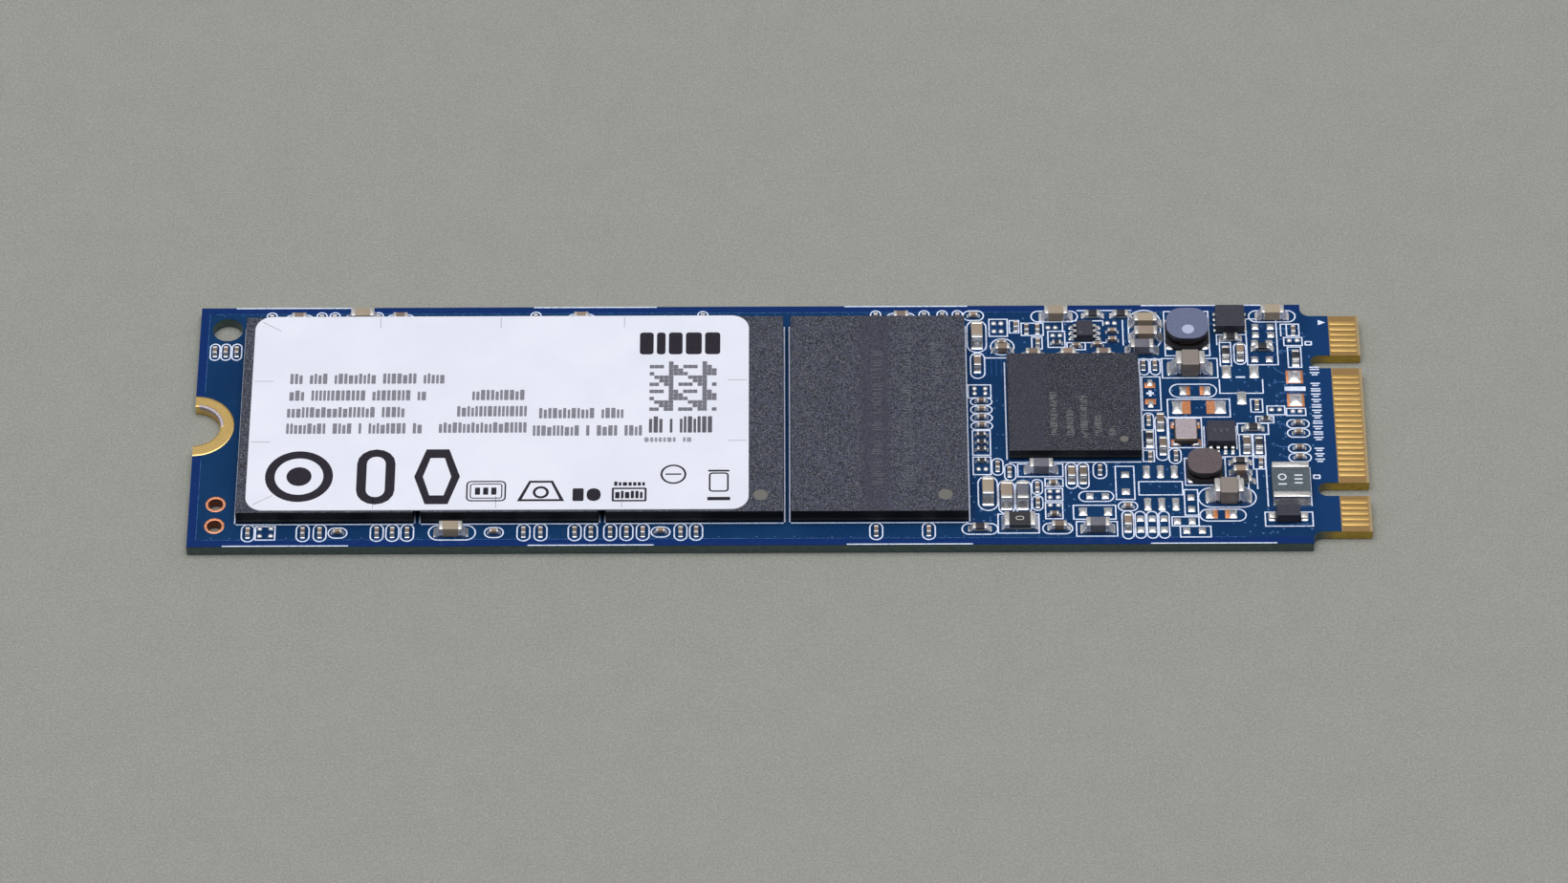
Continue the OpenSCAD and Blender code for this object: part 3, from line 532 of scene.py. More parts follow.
def gold_paint():
    """Gold plating with fine rubbed lines along the card; the tint of a finger shifts its shade."""
    paint = Paint("finger_gold", "gold_plating", metal=1.0)
    rubbed = paint.noise(6, 3, (0.3, 4, 1))
    shade = paint.blend(paint.tint(), (212, 174, 106), (224, 188, 120))
    paint.colour(paint.spread(rubbed, 0.55, 0.75, 0, 0.4), shade, (190, 148, 84))
    paint.set("Roughness", paint.spread(rubbed, 0.3, 0.7, 0.38, 0.46))
    return paint.bump(rubbed, 0.0004)


def worn_ring_paint():
    """Gold plating that a screw head has scraped bright grey where the tint is high."""
    paint = Paint("ring_gold", "gold_plating", metal=1.0)
    grain = paint.noise(9, 3)
    gold = paint.blend(paint.spread(grain, 0.3, 0.7), (228, 190, 116), (240, 206, 134))
    worn = paint.spread(paint.math("ADD", paint.tint(), paint.math("MULTIPLY", grain, 0.5)), 0.8, 1.0)
    scraped = paint.blend(paint.mottle(30, 1, 0.4, 0.6), (150, 138, 142), (214, 206, 214))
    paint.colour(worn, gold, scraped)
    paint.rough(worn, 0.36, 0.55)
    scratches = paint.math("MULTIPLY", worn, grain)
    return paint.bump(paint.math("ADD", paint.math("MULTIPLY", grain, 0.3), scratches), 0.03)


def copper_paint():
    """Bare copper, dulled in patches; a high tint paints shade on the inside of a hole."""
    paint = Paint("bare_copper")
    patches = paint.mottle(5, 3)
    inside = paint.tint()
    # painted shade: the hole's inside goes dark brown (124, 68, 46) and less metallic
    paint.colour(inside, paint.blend(patches, (226, 146, 106), (240, 170, 136)), (124, 68, 46))
    paint.set("Metallic", paint.spread(inside, 0, 1, 1, 0.3))
    paint.rough(patches, 0.34, 0.5)
    return paint.bump(paint.noise(24, 2), 0.006)


def moulding_paint(name, dark, light, smear):
    """Moulding compound full of glass grains, with painted shade that turns its upright sides near black.

    It is a little darker over the x range smear. A high tint is the polished pin 1 mark.
    """
    paint = Paint(name, "moulding_compound", specular=0.3)
    x, _, _ = paint.axes(paint.spot)
    place = paint.math("ADD", x, paint.math("MULTIPLY", paint.noise(0.9, 2), 0.5))
    start, end = (paint.spread(place, edge, edge + 0.3) for edge in smear)
    smeared = paint.math("MULTIPLY", paint.math("SUBTRACT", start, end), 0.55)
    grain = paint.mottle(10, 2, 0.38, 0.62)
    base = paint.blend(grain, dark, light)
    base = paint.blend(paint.mottle(12, 0, 0.64, 0.72, 0, 0.7), base, (130, 128, 126))
    base = paint.blend(smeared, base, (52, 50, 66))
    base = paint.blend(paint.tint(0.8), base, (104, 102, 98))
    # painted shade: upright faces go near black (6, 8, 10), flat tops keep the base colour
    paint.colour(paint.upward(), (6, 8, 10), base)
    paint.rough(grain, 0.62, 0.5)
    return paint.bump(grain, 0.006, 0.6)


def laser_mark_paint():
    """Moulding compound greyed by a marking laser, unevenly."""
    paint = Paint("laser_mark", "moulding_compound", roughness=0.7)
    patchy = paint.mottle(9, 2)
    paint.colour(patchy, (68, 72, 80), paint.blend(paint.tint(), (88, 94, 98), (142, 140, 134)))
    return paint.bump(patchy, 0.006)


def film_paint():
    """White label film, satin, with a faint waviness and specks."""
    paint = Paint("label_film")
    base = paint.blend(paint.mottle(0.25, 2), (217, 219, 231), (223, 225, 236))
    paint.colour(paint.mottle(7, 1, 0.76, 0.8, 0, 0.35), base, (190, 192, 204))
    paint.set("Roughness", paint.mottle(3, 2, 0.3, 0.7, 0.36, 0.5))
    return paint.bump(paint.noise(1.2, 2), 0.01, 0.5)


def print_paint():
    """Label ink: near black, and a soft grey where the tint is high."""
    paint = Paint("label_ink", "label_film", roughness=0.6, specular=0.1)
    uneven = paint.mottle(8, 2, 0.3, 0.7)
    black = paint.blend(uneven, (34, 30, 38), (48, 44, 54))
    grey = paint.blend(uneven, (128, 128, 138), (160, 160, 172))
    paint.colour(paint.tint(), black, grey)
    return paint.bump(uneven, 0.003)


def ferrite_paint(name, dark, light, dot):
    """Ground ferrite with fine pores. Painted shade darkens it as the tint goes up to a half, and a tint of
    one is the dot.
    """
    paint = Paint(name, specular=0.35)
    pores = paint.mottle(11, 3, 0.3, 0.7)
    # painted shade (34, 32, 36) where the tint is a half
    base = paint.blend(paint.tint(0.05, 0.5), paint.blend(pores, dark, light), (34, 32, 36))
    paint.colour(paint.tint(0.8), base, dot)
    paint.rough(pores, 0.58, 0.42)
    return paint.bump(pores, 0.008)


def capacitor_paint(name, dark, light):
    """Fired capacitor ceramic; the tint is the batch's shade."""
    paint = Paint(name, "capacitor_ceramic", roughness=0.45, coat=0.2)
    grain = paint.mottle(15, 2, 0.3, 0.7, -0.12, 0.12)
    paint.colour(paint.math("ADD", paint.tint(), grain), dark, light)
    return paint.bump(paint.noise(18, 2), 0.005)


def resistor_paint():
    """Black glass coat over white ceramic, which shows at the foot; a high tint is white print."""
    paint = Paint("resistor_coating", roughness=0.35, coat=0.3)
    _, _, z = paint.axes(paint.spot)
    grain = paint.mottle(12, 2, 0.3, 0.7)
    black = paint.blend(grain, (26, 25, 32), (48, 46, 54))
    coat = paint.blend(paint.tint(0.8), black, (206, 202, 190))
    ceramic = paint.blend(grain, (150, 146, 140), (186, 182, 174))
    paint.colour(paint.spread(z, TOP + 0.17, TOP + 0.2), ceramic, coat)
    return paint.bump(grain, 0.005)


def solder_paint():
    """Reflowed solder: bright, with grey grain borders and traces of brown flux."""
    paint = Paint("solder", metal=0.85)
    shade = paint.blend(paint.spread(paint.cells(9), 0.2, 0.6), (244, 244, 246), (214, 214, 218))
    paint.colour(paint.mottle(1.7, 3, 0.56, 0.74, 0, 0.5), shade, (190, 172, 142))
    paint.set("Roughness", paint.mottle(8, 3, 0.3, 0.7, 0.24, 0.4))
    return paint.bump(paint.noise(6, 2), 0.008, 0.6)


def trace_paint():
    """The mask where it runs over a trace, or over a via where the tint is high."""
    paint = Paint("mask_over_traces", "solder_mask", roughness=0.2)
    base = paint.blend(paint.tint(), (30, 72, 128), (78, 120, 172))
    return paint.colour(paint.mottle(6, 2), base, (20, 58, 112))


def floor_paint():
    """Pale grey card with a soft mottle."""
    paint = Paint("pale_floor", roughness=0.9)
    grain = paint.mottle(7, 3, 0.34, 0.66)
    base = paint.blend(paint.mottle(0.3, 2), (144, 145, 138), (149, 149, 143))
    grit = paint.blend(grain, (130, 132, 124), (163, 164, 157))
    paint.colour(0.5, base, grit)
    return paint.bump(grain, 0.04)


def mottled_paint(
    name, dark, light, mottle, depth, rough=None, relief=None, mark=None, stretch=(1, 1, 1), **finish,
):
    """Two colours mixed by a noise, and a third, mark, where the tint is high: print or a pin mark on most
    paints, a painted highlight on LID.

    The noise mottle is a scale, a detail and a range. rough is the roughness at its low and high ends, where
    it varies. The relief comes from the same noise, unless relief gives the scale and detail of another.
    """
    paint = Paint(name, **finish)
    grain = paint.mottle(*mottle, stretch=stretch)
    if mark:
        paint.colour(paint.tint(), paint.blend(grain, dark, light), mark)
    else:
        paint.colour(grain, dark, light)
    if rough:
        paint.rough(grain, *rough)
    return paint.bump(paint.noise(*relief) if relief else grain, depth)


BEAD = mottled_paint("bead_ferrite", (82, 84, 98), (112, 112, 122), (15, 3, 0.3, 0.7), 0.006)
BROWN_FERRITE = ferrite_paint("brown_ferrite", (78, 68, 72), (100, 88, 92), (100, 88, 92))
GREY_FERRITE = ferrite_paint("grey_ferrite", (88, 96, 124), (106, 112, 140), (172, 178, 204))
CERAMIC = mottled_paint("dark_ceramic", (44, 36, 32), (70, 58, 50), (14, 2, 0.3, 0.7), 0.008, roughness=0.55)
FUSE = mottled_paint("fuse_coating", (66, 76, 84), (84, 92, 100), (5, 3, 0.3, 0.7), 0.008,
                     mark=(214, 220, 226), roughness=0.4)
LEGEND = mottled_paint("legend_ink", (222, 230, 250), (150, 172, 214), (7, 3, 0.52, 0.72), 0.008,
                       relief=(18, 2), roughness=0.6)
# the mark of LID is a painted highlight on the lid's sides
LID = mottled_paint("lid_metal", (174, 160, 166), (196, 186, 192), (6, 3), 0.006, (0.5, 0.36),
                    mark=(240, 220, 172), slot="crystal_lid_metal", metal=0.8)
PAD_COPPER = mottled_paint("pad_copper", (206, 132, 86), (222, 156, 116), (7, 3), 0.008,
                           relief=(24, 2), slot="bare_copper", roughness=0.4, metal=0.85)
RESISTOR = resistor_paint()
SILICON = mottled_paint("silicon", (84, 88, 98), (124, 128, 140), (3, 3, 0, 1), 0.003,
                        stretch=(1, 14, 1), roughness=0.3, metal=0.6)
SMALL_MOULDING = mottled_paint("small_moulding", (32, 33, 44), (56, 57, 72), (16, 2), 0.006, (0.5, 0.38),
                               mark=(112, 114, 122), specular=0.4)
SOLDER = solder_paint()
SUBSTRATE = mottled_paint("package_substrate", (8, 12, 11), (22, 28, 24), (4, 2), 0.006,
                          stretch=(1, 1, 12))
TIN = mottled_paint("tinned_metal", (220, 216, 212), (242, 240, 238), (10, 3, 0.3, 0.7), 0.005, (0.44, 0.3),
                    metal=1.0)
# reddish brown enamel, partly darkened towards (30, 20, 16) as painted shade under the flange
WINDING = mottled_paint("enamelled_winding", (92, 48, 26), (30, 20, 16), (4, 2, 0.4, 0.6), 0.006,
                        relief=(14, 2), roughness=0.3, coat=0.6)


# ---- Board ----

PLATING = 0.03
FINGER_CORNER = 0.12
FINGER_EDGE = 0.015
HOLE_STEPS = 64
LAND_LIP = 0.02


def repaint(node, paint):
    """Gives a CAD node that stays in view its paint."""
    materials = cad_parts[node].data.materials
    materials.clear()
    materials.append(paint.material)


def paint_board():
    mask = solder_mask_paint()
    repaint("board_laminate", laminate_paint())
    repaint("solder_mask_top", mask)
    repaint("solder_mask_bottom", mask)
    repaint("legend_print", LEGEND)
    repaint("silicon_dies", SILICON)
    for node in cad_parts:
        if "substrate" in node:
            repaint(node, SUBSTRATE)


def gold_fingers():
    """The contacts of both faces, with round corners and soft edges on the side that faces out."""
    gold = gold_paint()
    for face in ("top", "bottom"):
        piece = Piece()
        for finger in solids(f"edge_contacts_{face}"):
            shape = block(finger.size, FINGER_CORNER, FINGER_EDGE)
            if face == "bottom":
                shape = upside_down(shape, finger.size[2])
            piece.add(shape, at=finger.foot, tint=draw.random())
        piece.make(f"gold_fingers_{face}", gold, f"edge_contacts_{face}")


def land_profile(hole_r, land_r, rings=8):
    """(radius, z) points round a plated barrel with a land at each face and soft lips."""
    radii = [land_r - LAND_LIP + (hole_r + 2 * LAND_LIP - land_r) * i / rings for i in range(rings + 1)]
    top = [(r, TOP) for r in radii]
    lip = [(hole_r + LAND_LIP * 0.3, TOP - LAND_LIP * 0.3), (hole_r, TOP - LAND_LIP)]
    upper = [(land_r, TOP - LAND_LIP), *top, *lip]
    lower = [(r, TOP - z) for r, z in reversed(upper)]
    inner = [(land_r, PLATING), (hole_r + PLATING, PLATING)]
    return upper + lower + inner + [(r, TOP - z) for r, z in reversed(inner)]


def hole_radius(box, centre):
    """How near the box's points come to an upright axis."""
    return np.hypot(*(box.points[:, :2] - centre[:2]).T).min()


def mounting_ring():
    """The half ring round the screw notch, scraped along its inner edge on one side."""
    box = box_of("mounting_ring")
    centre = np.array([box.low[0], box.centre[1], 0])
    land_r = box.size[1] / 2
    hole_r = hole_radius(box, centre)
    shape = spin(land_profile(hole_r, land_r), -90, 180, HOLE_STEPS)
    angle = np.degrees(np.arctan2(shape[0][:, 1], shape[0][:, 0]))
    radius = np.hypot(shape[0][:, 0], shape[0][:, 1])
    near_edge = np.clip((hole_r + 0.32 - radius) / 0.15, 0, 1)
    on_arc = np.clip((angle + 8) / 12, 0, 1) * np.clip((88 - angle) / 8, 0, 1)
    piece = Piece()
    piece.add(shape, at=centre, tint=near_edge * on_arc * (shape[0][:, 2] > TOP - 0.1))
    piece.make("screw_ring", worn_ring_paint(), "mounting_ring")


def test_holes():
    """Two copper eyelets, with painted shade inside."""
    piece = Piece()
    for box in solids("test_hole_eyelets"):
        centre = np.array([*box.centre[:2], 0])
        hole_r = hole_radius(box, centre)
        shape = spin(land_profile(hole_r, box.size[0] / 2, 3), 0, 360, HOLE_STEPS)
        radius = np.hypot(shape[0][:, 0], shape[0][:, 1])
        # the barrel wall gets the painted shade
        piece.add(shape, at=centre, tint=radius < hole_r + LAND_LIP * 0.2)
    piece.make("copper_eyelets", copper_paint(), "test_hole_eyelets")


# ---- Traces and vias under the mask ----

TRACE_H = 0.006
STITCH_PITCH = 1.27
KEY_CURVES_X = MASK.high[0] - 2.9
KEY_CURVES_Y = (5.625, -6.125)
KEY_CURVES_R = 1.15
SCATTERED_VIAS = 260
VIAS_UNDER = 420
PARTS_ON_TOP = [
    "label", *MEMORY_NODES, "controller_package", "boost_inductor_core", "buck_inductor_core", "crystal_base",
    "fuse_body", "diode_body", "converter_body", "load_switch_body", "power_manager_body", "bare_pads",
    "solder_joints", "edge_contacts_top", "mounting_ring", "test_hole_eyelets",
]
PARTS_UNDER = ["mounting_ring", "test_hole_eyelets", "edge_contacts_bottom"]
# Bundles of traces to the memory: their two ends along the card, and the place of the first across it
MEMORY_BUNDLES = ((-31, 12.6, 7.4), (-19, 14.2, 3.6), (-7, 15.8, -1.4), (0, 13.4, -5.6))


def trace(piece, path, width, tint):
    piece.add(stroke(path, width, TRACE_H), at=(0, 0, TOP), tint=tint)


def via(piece, place, width, edge=0.004):
    piece.add(block((width, width, TRACE_H), width / 2, edge), at=(*place, TOP), tint=1)


def finger_traces(piece, fingers):
    """A trace from every second contact to a via, fanned a little towards the middle of the card."""
    start = MASK.high[0] - 2.15
    for i, finger in enumerate(fingers[::2]):
        y = finger.centre[1]
        bend = start - 0.7 - 0.45 * (i % 3)
        end = (bend - 0.5, y - math.copysign(0.25, y))
        trace(piece, [(start, y), (bend, y), end], 0.11, 0.5)
        via(piece, end, 0.26, TRACE_H)


def border_traces(piece):
    """A line just inside the border with small vias along it, and curves behind the key notches."""
    x0, x1 = MASK.low[0] + BORDER, MASK.high[0] - 6.5
    y1 = MASK.high[1] - BORDER
    for side in (-1, 1):
        trace(piece, [(x0 + 0.4, side * y1), (x1, side * y1)], 0.04, 0.8)
        for i in range(int((x1 - x0) / STITCH_PITCH)):
            via(piece, (x0 + 1 + i * STITCH_PITCH, side * (y1 - 0.16)), 0.1)
    for low, high in ((-y1, -3.1), (3.1, y1)):
        trace(piece, [(x0, low), (x0, high)], 0.04, 0.8)
    for y in KEY_CURVES_Y:
        trace(piece, arc((KEY_CURVES_X, y), KEY_CURVES_R, 100, 260), 0.08, 0.6)


def scattered_vias(piece, taken, low_x, count):
    """Small vias at random places beyond low_x. A try that hits a part uses up a tenth of a via."""
    tenths = 10 * count
    while tenths > 0:
        x = round(draw.uniform(low_x, 36.5), 2)
        y = round(draw.uniform(-10.1, 10.1), 2)
        if any(box.covers((x, y), 0.12) for box in taken):
            tenths -= 1
        else:
            via(piece, (x, y), 0.16)
            tenths -= 10


def controller_traces(piece):
    """Bundles of parallel traces that leave the controller, each with one bend."""
    controller = box_of("controller_package")
    for k in range(7):
        y = controller.low[1] + 1 + k * 0.55
        bend = controller.high[0] + 1.3 + 0.16 * k
        trace(piece, [(controller.high[0], y), (bend, y), (bend + 0.8, y - 0.8)], 0.07, 0.3)
    for k in range(6):
        x = controller.low[0] + 1.2 + k * 0.4
        bend = controller.low[1] - 0.9 - 0.12 * k
        trace(piece, [(x, controller.low[1]), (x, bend), (x - 0.9, bend - 0.9)], 0.07, 0.3)
    for k in range(8):
        x = 12.9 + 0.35 * k
        trace(piece, [(x, 9.3), (x, 7.6), (x + 0.6, 7.0), (x + 0.6, 4.4)], 0.06, 0.2)


def memory_traces(piece):
    """Bundles of parallel traces along the card, bent at both ends and ended by vias."""
    for low, high, y in MEMORY_BUNDLES:
        for k in range(9):
            line = y + 0.26 * k
            near, far = high + 0.11 * k, low - 0.11 * k
            path = [(far - 0.9, line - 0.9), (far, line), (near, line), (near + 0.9, line - 0.9)]
            trace(piece, path, 0.08, 0.25)
            via(piece, path[0], 0.18)
            via(piece, path[-1], 0.18)


def board_relief():
    """Traces and vias on both faces. Those of the underside are made on top and then turned under."""
    paint = trace_paint()
    piece = Piece()
    finger_traces(piece, solids("edge_contacts_top"))
    border_traces(piece)
    controller_traces(piece)
    scattered_vias(piece, boxes_of(PARTS_ON_TOP), 12.5, SCATTERED_VIAS)
    piece.make("trace_relief", paint)
    under = Piece()
    finger_traces(under, solids("edge_contacts_bottom"))
    border_traces(under)
    memory_traces(under)
    scattered_vias(under, boxes_of(PARTS_UNDER), -36, VIAS_UNDER)
    under.points = [points * [1, 1, -1] + [0, 0, TOP] for points in under.points]
    under.make("trace_relief_under", paint)


# ---- Pads ----

SMALL_PAD = 0.45
LARGE_PAD = 0.7


def bare_pads():
    """Tinned pads of empty places: round drops on the small ones, waisted cushions on the large ones."""
    piece = Piece()
    for pad in solids("bare_pads"):
        half_x, half_y = pad.size[:2] / 2
        longest = max(pad.size[:2])
        swell, roundness = (0.5, 0.85) if longest < SMALL_PAD else (0.22, 0.35)
        pinch = 0.2 if longest > LARGE_PAD else 0.06
        height = pad.size[2] + swell * min(half_x, half_y)
        upright = half_y >= half_x
        sizes = (half_x, half_y) if upright else (half_y, half_x)
        shape = solder_dome(*sizes, height, pinch, roundness)
        piece.add(shape, at=pad.foot, turn=0 if upright else 90, tint=draw.random())
    piece.make("tinned_pads", SOLDER, "bare_pads")


def copper_margins():
    """Copper left bare beside some pads, carried on under the solder of the pad."""
    piece = Piece()
    pads = solids("bare_pads")
    for strip in solids("pad_copper"):
        thin = int(strip.size[1] < strip.size[0])
        pad = min(pads, key=lambda p: math.hypot(*(p.centre - strip.centre)[:2]))
        low, high = strip.low.copy(), strip.high.copy()
        low[thin] = min(low[thin], pad.centre[thin])
        high[thin] = max(high[thin], pad.centre[thin])
        size = high - low
        piece.add(block(size, 0.03, 0.005), at=(*(low + size / 2)[:2], TOP), tint=draw.random())
    piece.make("copper_margins", PAD_COPPER, "pad_copper")


# ---- Packages ----

CAP_CORNER = 0.06
CAP_EDGE = 0.035
MARK_SIDES = 40
LASER_H = 0.004
LASER_LINE = 0.07
# Columns of marks: their place along x and their start and end along y, all from the package's middle, and
# how long their strokes are
MEMORY_COLUMNS = ((-0.1, -6.55, 5.75, 0.75), (2.0, -7.05, 7.55, 0.7), (4.0, 2.55, 6.55, 0.8))
CONTROLLER_COLUMNS = (
    (-1.4, -3.3, 1.0, 0.5), (-0.3, -3.3, -0.65, 0.5), (0.65, -3.3, 0.6, 0.5), (1.6, -3.1, -1.2, 0.5),
    (2.55, -3.1, -2.3, 0.5),
)


def moulded_cap(name, node, paint):
    """A moulded cap: soft sawn edges, a sunk pin 1 mark, and a pocket underneath for its die."""
    points = mesh_points(node)
    box = Box(points)
    height = box.size[2]
    mark = Box(points[(points[:, 2] < box.high[2] - 0.005) & (points[:, 2] > box.high[2] - 0.05)])
    mark_at = mark.centre[:2] - box.centre[:2]
    mark_r = mark.size[0] / 2
    mark_z = mark.low[2] - box.low[2]
    dot = circle(mark_r, MARK_SIDES, mark_at)
    dot_foot = circle(mark_r - 0.01, MARK_SIDES, mark_at)
    die = [d for d in solids("silicon_dies") if box.covers(d.centre)][0]
    pocket = rounded_outline(*die.size[:2] / 2, 0.05)
    outlines = []
    for inset, z in block_levels(height, CAP_EDGE):
        outlines.append((rounded_outline(*box.size[:2] / 2 - inset, CAP_CORNER - inset), z))
    shape = joined(
        loft([raised(outline, z) for outline, z in outlines], caps=False),
        holed_face(outlines[-1][0], dot, height),
        loft([raised(dot, height), raised(dot_foot, mark_z)], caps=False),
        holed_face(outlines[0][0], pocket, 0),
        loft([raised(pocket, 0), raised(pocket, die.size[2])], caps=False),
    )
    piece = Piece()
    beside = np.hypot(*(shape[0][:, :2] - mark_at).T)
    in_mark = (beside < mark_r - 0.005) & (shape[0][:, 2] > height / 2)
    piece.add(shape, at=box.foot, tint=in_mark)
    piece.add((raised(pocket, die.size[2]), [tuple(range(len(pocket)))]), at=box.foot, tint=0)
    piece.add((raised(dot_foot, mark_z), [tuple(range(MARK_SIDES))]), at=box.foot, tint=1)
    piece.make(name, paint, node, weld=True)


def laser_column(piece, x, low, high, width, z, tint):
    """Marks in the place of a line of print that runs along y: strokes across it, with gaps between words."""
    y = low
    while y < high:
        if draw.random() < 0.08:
            y += 0.5 * width
            continue
        length = width * draw.choice([0.5, 0.8, 1.0, 1.0])
        side = draw.choice([-1, 0, 1]) * (width - length) / 2
        line = plate(rounded_outline(length / 2, LASER_LINE / 2, 0.02, 1), LASER_H)
        piece.add(line, at=(x + side, y, z), tint=tint)
        y += width * draw.choice([0.24, 0.3, 0.42])


def laser_marks():
    """Faint marks on the last memory package, the controller and the converter."""
    piece = Piece()
    for node, columns, tint in (
        ("flash_package_4", MEMORY_COLUMNS, 0.0), ("controller_package", CONTROLLER_COLUMNS, 0.6),
    ):
        x, y, _ = box_of(node).centre
        top = box_of(node).high[2]
        for offset, low, high, width in columns:
            laser_column(piece, x + offset, y + low, y + high, width, top, tint)
    converter = box_of("converter_body")
    chevron = stroke([(-0.1, -0.15), (0, 0.15), (0.1, -0.15)], 0.045, LASER_H)
    for i in range(3):
        at = (converter.centre[0] - 0.45 + 0.42 * i, converter.centre[1] + 0.05, converter.high[2])
        piece.add(chevron, at=at, turn=180, tint=0.3)
    piece.make("laser_marks", laser_mark_paint())


def solder_balls(name, node):
    piece = Piece()
    for ball in solids(node):
        piece.add(barrel(ball.size[0] / 2, ball.size[2]), at=ball.foot, tint=draw.random())
    piece.make(name, SOLDER, node)


def packages():
    memory = moulding_paint("memory_compound", (16, 20, 28), (70, 74, 92), (5.6, 7.6))
    for i, node in enumerate(MEMORY_NODES):
        moulded_cap(f"memory_cap_{i + 1}", node, memory)
    controller = moulding_paint("controller_compound", (18, 21, 30), (50, 53, 68), (15.9, 18.2))
    moulded_cap("controller_cap", "controller_package", controller)
    laser_marks()
    solder_balls("memory_balls", "flash_solder_balls")
    solder_balls("controller_balls", "controller_solder_balls")


# ---- Label ----

LABEL_CORNER = 1.2
PRINT_H = 0.005
BLACK = 0.0
FAINT = 0.9
# Rows of print: where each starts from the label's left and front edges, and where it ends
PRINT_ROWS = (
    (2.6, 11.55, 13.3), (2.6, 10.0, 12.0), (2.5, 8.45, 10.4), (2.5, 6.95, 11.7),
    (15.1, 10.0, 18.8), (14.1, 8.5, 18.8), (12.9, 7.0, 18.9), (19.7, 8.3, 25.6), (19.3, 6.7, 26.7),
)
BLOCK_WIDTHS = (0.95, 0.6, 0.95, 1.1, 1.05)


class LabelPrint(Piece):
    """Prints on the label, in millimetres from its left and front edges."""

    def mark(self, shape, u, v, tint=BLACK):
        self.add(shape, at=(LABEL.low[0] + u, LABEL.low[1] + v, LABEL.high[2]), tint=tint)

    def bar(self, u, v, width, height, corner=0.08, tint=BLACK):
        """A solid bar whose lower left corner is at u, v."""
        outline = rounded_outline(width / 2, height / 2, corner, 3)
        self.mark(plate(outline, PRINT_H), u + width / 2, v + height / 2, tint)

    def frame(self, u, v, width, height, line, corner=0.3):
        """An open frame whose lower left corner is at u, v."""
        outer = rounded_outline(width / 2, height / 2, corner)
        inner = rounded_outline(width / 2 - line, height / 2 - line, max(corner - line, 0.02))
        self.mark(frame_plate(outer, inner, PRINT_H), u + width / 2, v + height / 2)

    def ring(self, u, v, outer, inner, sides):
        self.mark(frame_plate(circle(outer, sides), circle(inner, sides), PRINT_H), u, v)

    def row(self, u, v, end, height, tint):
        """Upright strokes in the place of a line of print, with gaps between words."""
        while u < end - 0.1:
            width = draw.choice([0.18, 0.22, 0.3])
            self.bar(u, v, width, height * draw.choice([0.85, 1, 1]), 0.05, tint)
            u += width + (0.5 if draw.random() < 0.08 else 0.09)


def code_square(prints, u, v, side, cells=14):
    """A checker in the place of a square code; it encodes nothing."""
    cell = side / cells
    for i in range(cells):
        for j in range(cells):
            if (i * i + 3 * j + i * j) % 7 < 3:
                prints.bar(u + i * cell, v + j * cell, cell * 0.98, cell * 0.98, 0.05, 0.55)


def large_marks(prints):
    """A ring with a dot, and two bold open shapes."""
    prints.ring(3.55, 3.05, 2.3, 1.65, 56)
    prints.mark(plate(circle(0.85, 40), PRINT_H), 3.55, 3.05)
    prints.frame(7.45, 0.5, 2.6, 5.0, 0.66, 1.3)
    hexagon = [(x * 0.62, y * 1.15) for x, y in circle(2.5, 6)]
    hollow = [(x * 0.55, y * 1.12) for x, y in circle(1.75, 6)]
    prints.mark(frame_plate(hexagon, hollow, PRINT_H), 12.9, 3.0)


def small_marks(prints):
    """Small generic marks along the front edge of the label."""
    prints.frame(14.9, 0.75, 2.7, 1.85, 0.11, 0.35)
    prints.frame(15.15, 1.0, 2.2, 1.35, 0.08, 0.2)
    for k in range(3):
        prints.bar(15.5 + 0.55 * k, 1.35, 0.35, 0.65, 0.05)
    trapezium = [(1.6, -0.9), (-1.6, -0.9), (-0.8, 0.95), (0.8, 0.95)]
    hollow = [(1.28, -0.72), (-1.28, -0.72), (-0.68, 0.77), (0.68, 0.77)]
    prints.mark(frame_plate(trapezium, hollow, PRINT_H), 19.95, 1.65)
    prints.ring(19.95, 1.55, 0.55, 0.36, 24)
    prints.bar(22.1, 0.75, 0.75, 1.15, 0.1)
    prints.bar(23.05, 0.75, 0.95, 1.15, 0.45)
    prints.frame(24.75, 0.7, 2.35, 1.25, 0.14, 0.1)
    prints.row(24.98, 0.98, 26.9, 0.68, BLACK)
    prints.row(24.9, 2.12, 27.0, 0.38, BLACK)
    prints.ring(28.9, 3.15, 0.88, 0.74, 32)
    prints.bar(28.35, 3.1, 1.1, 0.12, 0.05)
    prints.frame(31.3, 1.55, 1.35, 1.75, 0.12, 0.25)
    prints.bar(31.25, 3.38, 1.45, 0.16, 0.06)
    prints.bar(31.2, 0.78, 1.55, 0.3, 0.04)


def label_slits(prints):
    """Short cuts in from the label's edges, which let it peel in pieces only."""
    width, height = LABEL.size[:2]
    line = 0.035
    for u in (8.6, 16.9, 25.4):
        prints.bar(u, 0.15, line, 1.1, 0.01, FAINT)
        prints.bar(u, height - 1.1, line, 0.95, 0.01, FAINT)
    for v in (6.2, 11.8):
        prints.bar(0.15, v, 1.3, line, 0.01, FAINT)
        prints.bar(width - 1.45, v, 1.3, line, 0.01, FAINT)
    for v, side in ((0.5, 1), (height - 0.5, -1)):
        prints.mark(stroke([(0, 0), (1.3, 0.85 * side)], line, PRINT_H), 0.5, v, FAINT)


